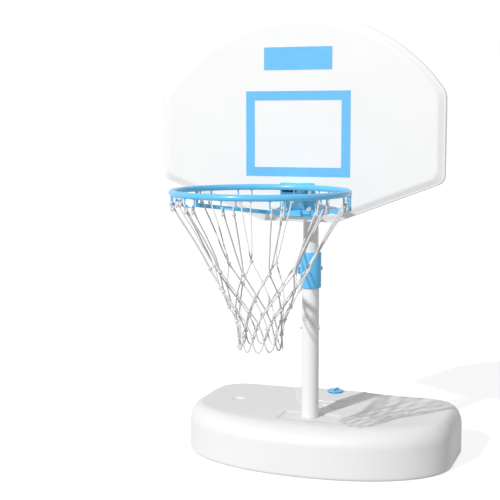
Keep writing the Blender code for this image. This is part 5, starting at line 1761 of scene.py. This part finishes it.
def make_net():
    """The knotted net: two strands from each hook, a knot at each crossing, and loops at the lower end."""
    radius = NET_CORD / 2
    patterns = []
    for way in (-1, 1):
        patterns.append((cord("strand", strand_path(way), radius), False))
        middle = Vector((RIM_RADIUS - COLLAR_INSET, way * NET_SPREAD, -COLLAR_DROP))
        collar = wound(middle, *COLLAR_REACH, COLLAR_RISE)
        patterns.append((cord("collar", collar, COLLAR_CORD / 2, KNOT_SIDES), False))
    for row, (reach, drop) in enumerate(NET_ROWS):
        knot = wound(Vector((reach, 0, -drop)), KNOT_RADIUS, KNOT_RADIUS, KNOT_RISE)
        patterns.append((cord("knot", knot, KNOT_CORD / 2, KNOT_SIDES), row % 2 == 1))
    patterns.append((cord("tip_loop", loop_path(), radius), True))
    parts = []
    hang = Matrix.Translation((0, RIM_CENTRE.y, NET_TOP))
    for pattern, between in patterns:
        for i in range(HOOK_COUNT):
            turn = Matrix.Rotation(2 * math.pi * (i + 0.5 * between) / HOOK_COUNT, 4, "Z")
            parts.append(copied(pattern, "net_part", hang @ turn))
        discard(pattern)
    net = gathered("cord_net", parts)
    slack = net.vertex_groups.new(name="slack")
    for vert in net.data.vertices:
        below = (NET_TOP - SLACK_START - vert.co.z) / SLACK_FADE
        slack.add([vert.index], min(max(below, 0), 1), "REPLACE")
    stray = bpy.data.textures.new("cords_at_rest", "CLOUDS")
    stray.noise_scale = SLACK_SCALE
    stray.cloud_type = "COLOR"
    applied(
        net,
        "DISPLACE",
        texture=stray,
        texture_coords="LOCAL",
        direction="RGB_TO_XYZ",
        strength=NET_SLACK,
        mid_level=0.5,
        vertex_group="slack",
    )
    dressed(net, NET_CORD_FINISH, "carriage", ["net"], 60)


def cleared(owner):
    """The node tree of a material or a world, with nothing in it."""
    owner.use_nodes = True
    owner.node_tree.nodes.clear()
    return owner.node_tree


def in_view(tree):
    """1 for what the camera sees, also mirrored or through glass, and 0 for what lights the object."""
    rays = tree.nodes.new("ShaderNodeLightPath").outputs
    seen = Signal(tree, rays["Is Camera Ray"])
    for kind in ("Is Glossy Ray", "Is Transmission Ray"):
        seen = seen.maths("MAXIMUM", seen, Signal(tree, rays[kind]))
    return seen


def lay_the_floor():
    """A pale floor that keeps the object's shadow."""
    clear_selection()
    bpy.ops.mesh.primitive_plane_add(size=FLOOR_SIZE, location=(0, 0, -FLOOR_DROP))
    floor = settled("studio_floor")
    material = bpy.data.materials.new("pale_floor")
    tree = cleared(material)
    seen = in_view(tree)
    matt = seen.node("ShaderNodeBsdfDiffuse", {}, {"Color": colour(FLOOR_SHADE, FLOOR_SHADE, FLOOR_SHADE)})
    faint = seen.node("ShaderNodeBsdfDiffuse", {}, {"Color": colour(FLOOR_MATT, FLOOR_MATT, FLOOR_MATT)})
    bright = seen.node("ShaderNodeEmission", {}, {"Color": WHITE, "Strength": FLOOR_GLOW})
    shaded = seen.node("ShaderNodeAddShader", {}, {0: faint, 1: bright})
    both = seen.node("ShaderNodeMixShader", {}, {0: seen, 1: matt, 2: shaded})
    end = tree.nodes.new("ShaderNodeOutputMaterial")
    tree.links.new(both.socket, end.inputs["Surface"])
    floor.data.materials.append(material)


def light_the_object():
    """A white surround and one lamp, high in front on the left."""
    world = bpy.data.worlds.new("white_surround")
    bpy.context.scene.world = world
    tree = cleared(world)
    seen = in_view(tree)
    fill = seen.node("ShaderNodeBackground", {}, {"Color": WHITE, "Strength": FILL_LIGHT})
    white = seen.node("ShaderNodeBackground", {}, {"Color": WHITE, "Strength": 1.0})
    both = seen.node("ShaderNodeMixShader", {}, {0: seen, 1: fill, 2: white})
    end = tree.nodes.new("ShaderNodeOutputWorld")
    tree.links.new(both.socket, end.inputs["Surface"])

    sun = bpy.data.lights.new("key", "SUN")
    sun.energy = SUN_LIGHT
    sun.angle = SUN_WIDTH
    lamp = bpy.data.objects.new("key", sun)
    heading = Vector((*SUN_HEADING, -math.tan(SUN_HEIGHT)))
    lamp.rotation_euler = heading.to_track_quat("-Z", "Y").to_euler()
    lamp.location = SUN_PLACE
    bpy.context.scene.collection.objects.link(lamp)


def set_the_camera():
    """The camera at the photograph's place and angle."""
    lens = bpy.data.cameras.new("camera")
    lens.lens = LENS
    lens.sensor_width = SENSOR_WIDTH
    camera = bpy.data.objects.new("camera", lens)
    camera.location = CAMERA_PLACE
    camera.rotation_euler = CAMERA_TURN
    bpy.context.scene.collection.objects.link(camera)
    bpy.context.scene.camera = camera


def write_sizes():
    """Updates the view layer."""
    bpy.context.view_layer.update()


def main():
    """Dresses the frame and sets it up for the photograph's view."""
    set_the_camera()
    paint_the_nodes()
    make_tank()
    make_posts()
    make_clamp_sleeve()
    make_knob()
    make_fill_cap()
    make_board()
    make_straps()
    make_bolts()
    make_nuts()
    make_screws()
    make_ring()
    make_bracket()
    make_brace()
    make_hooks()
    make_net()
    lay_the_floor()
    light_the_object()
    bpy.context.scene.view_settings.view_transform = "Standard"
    write_sizes()


main()
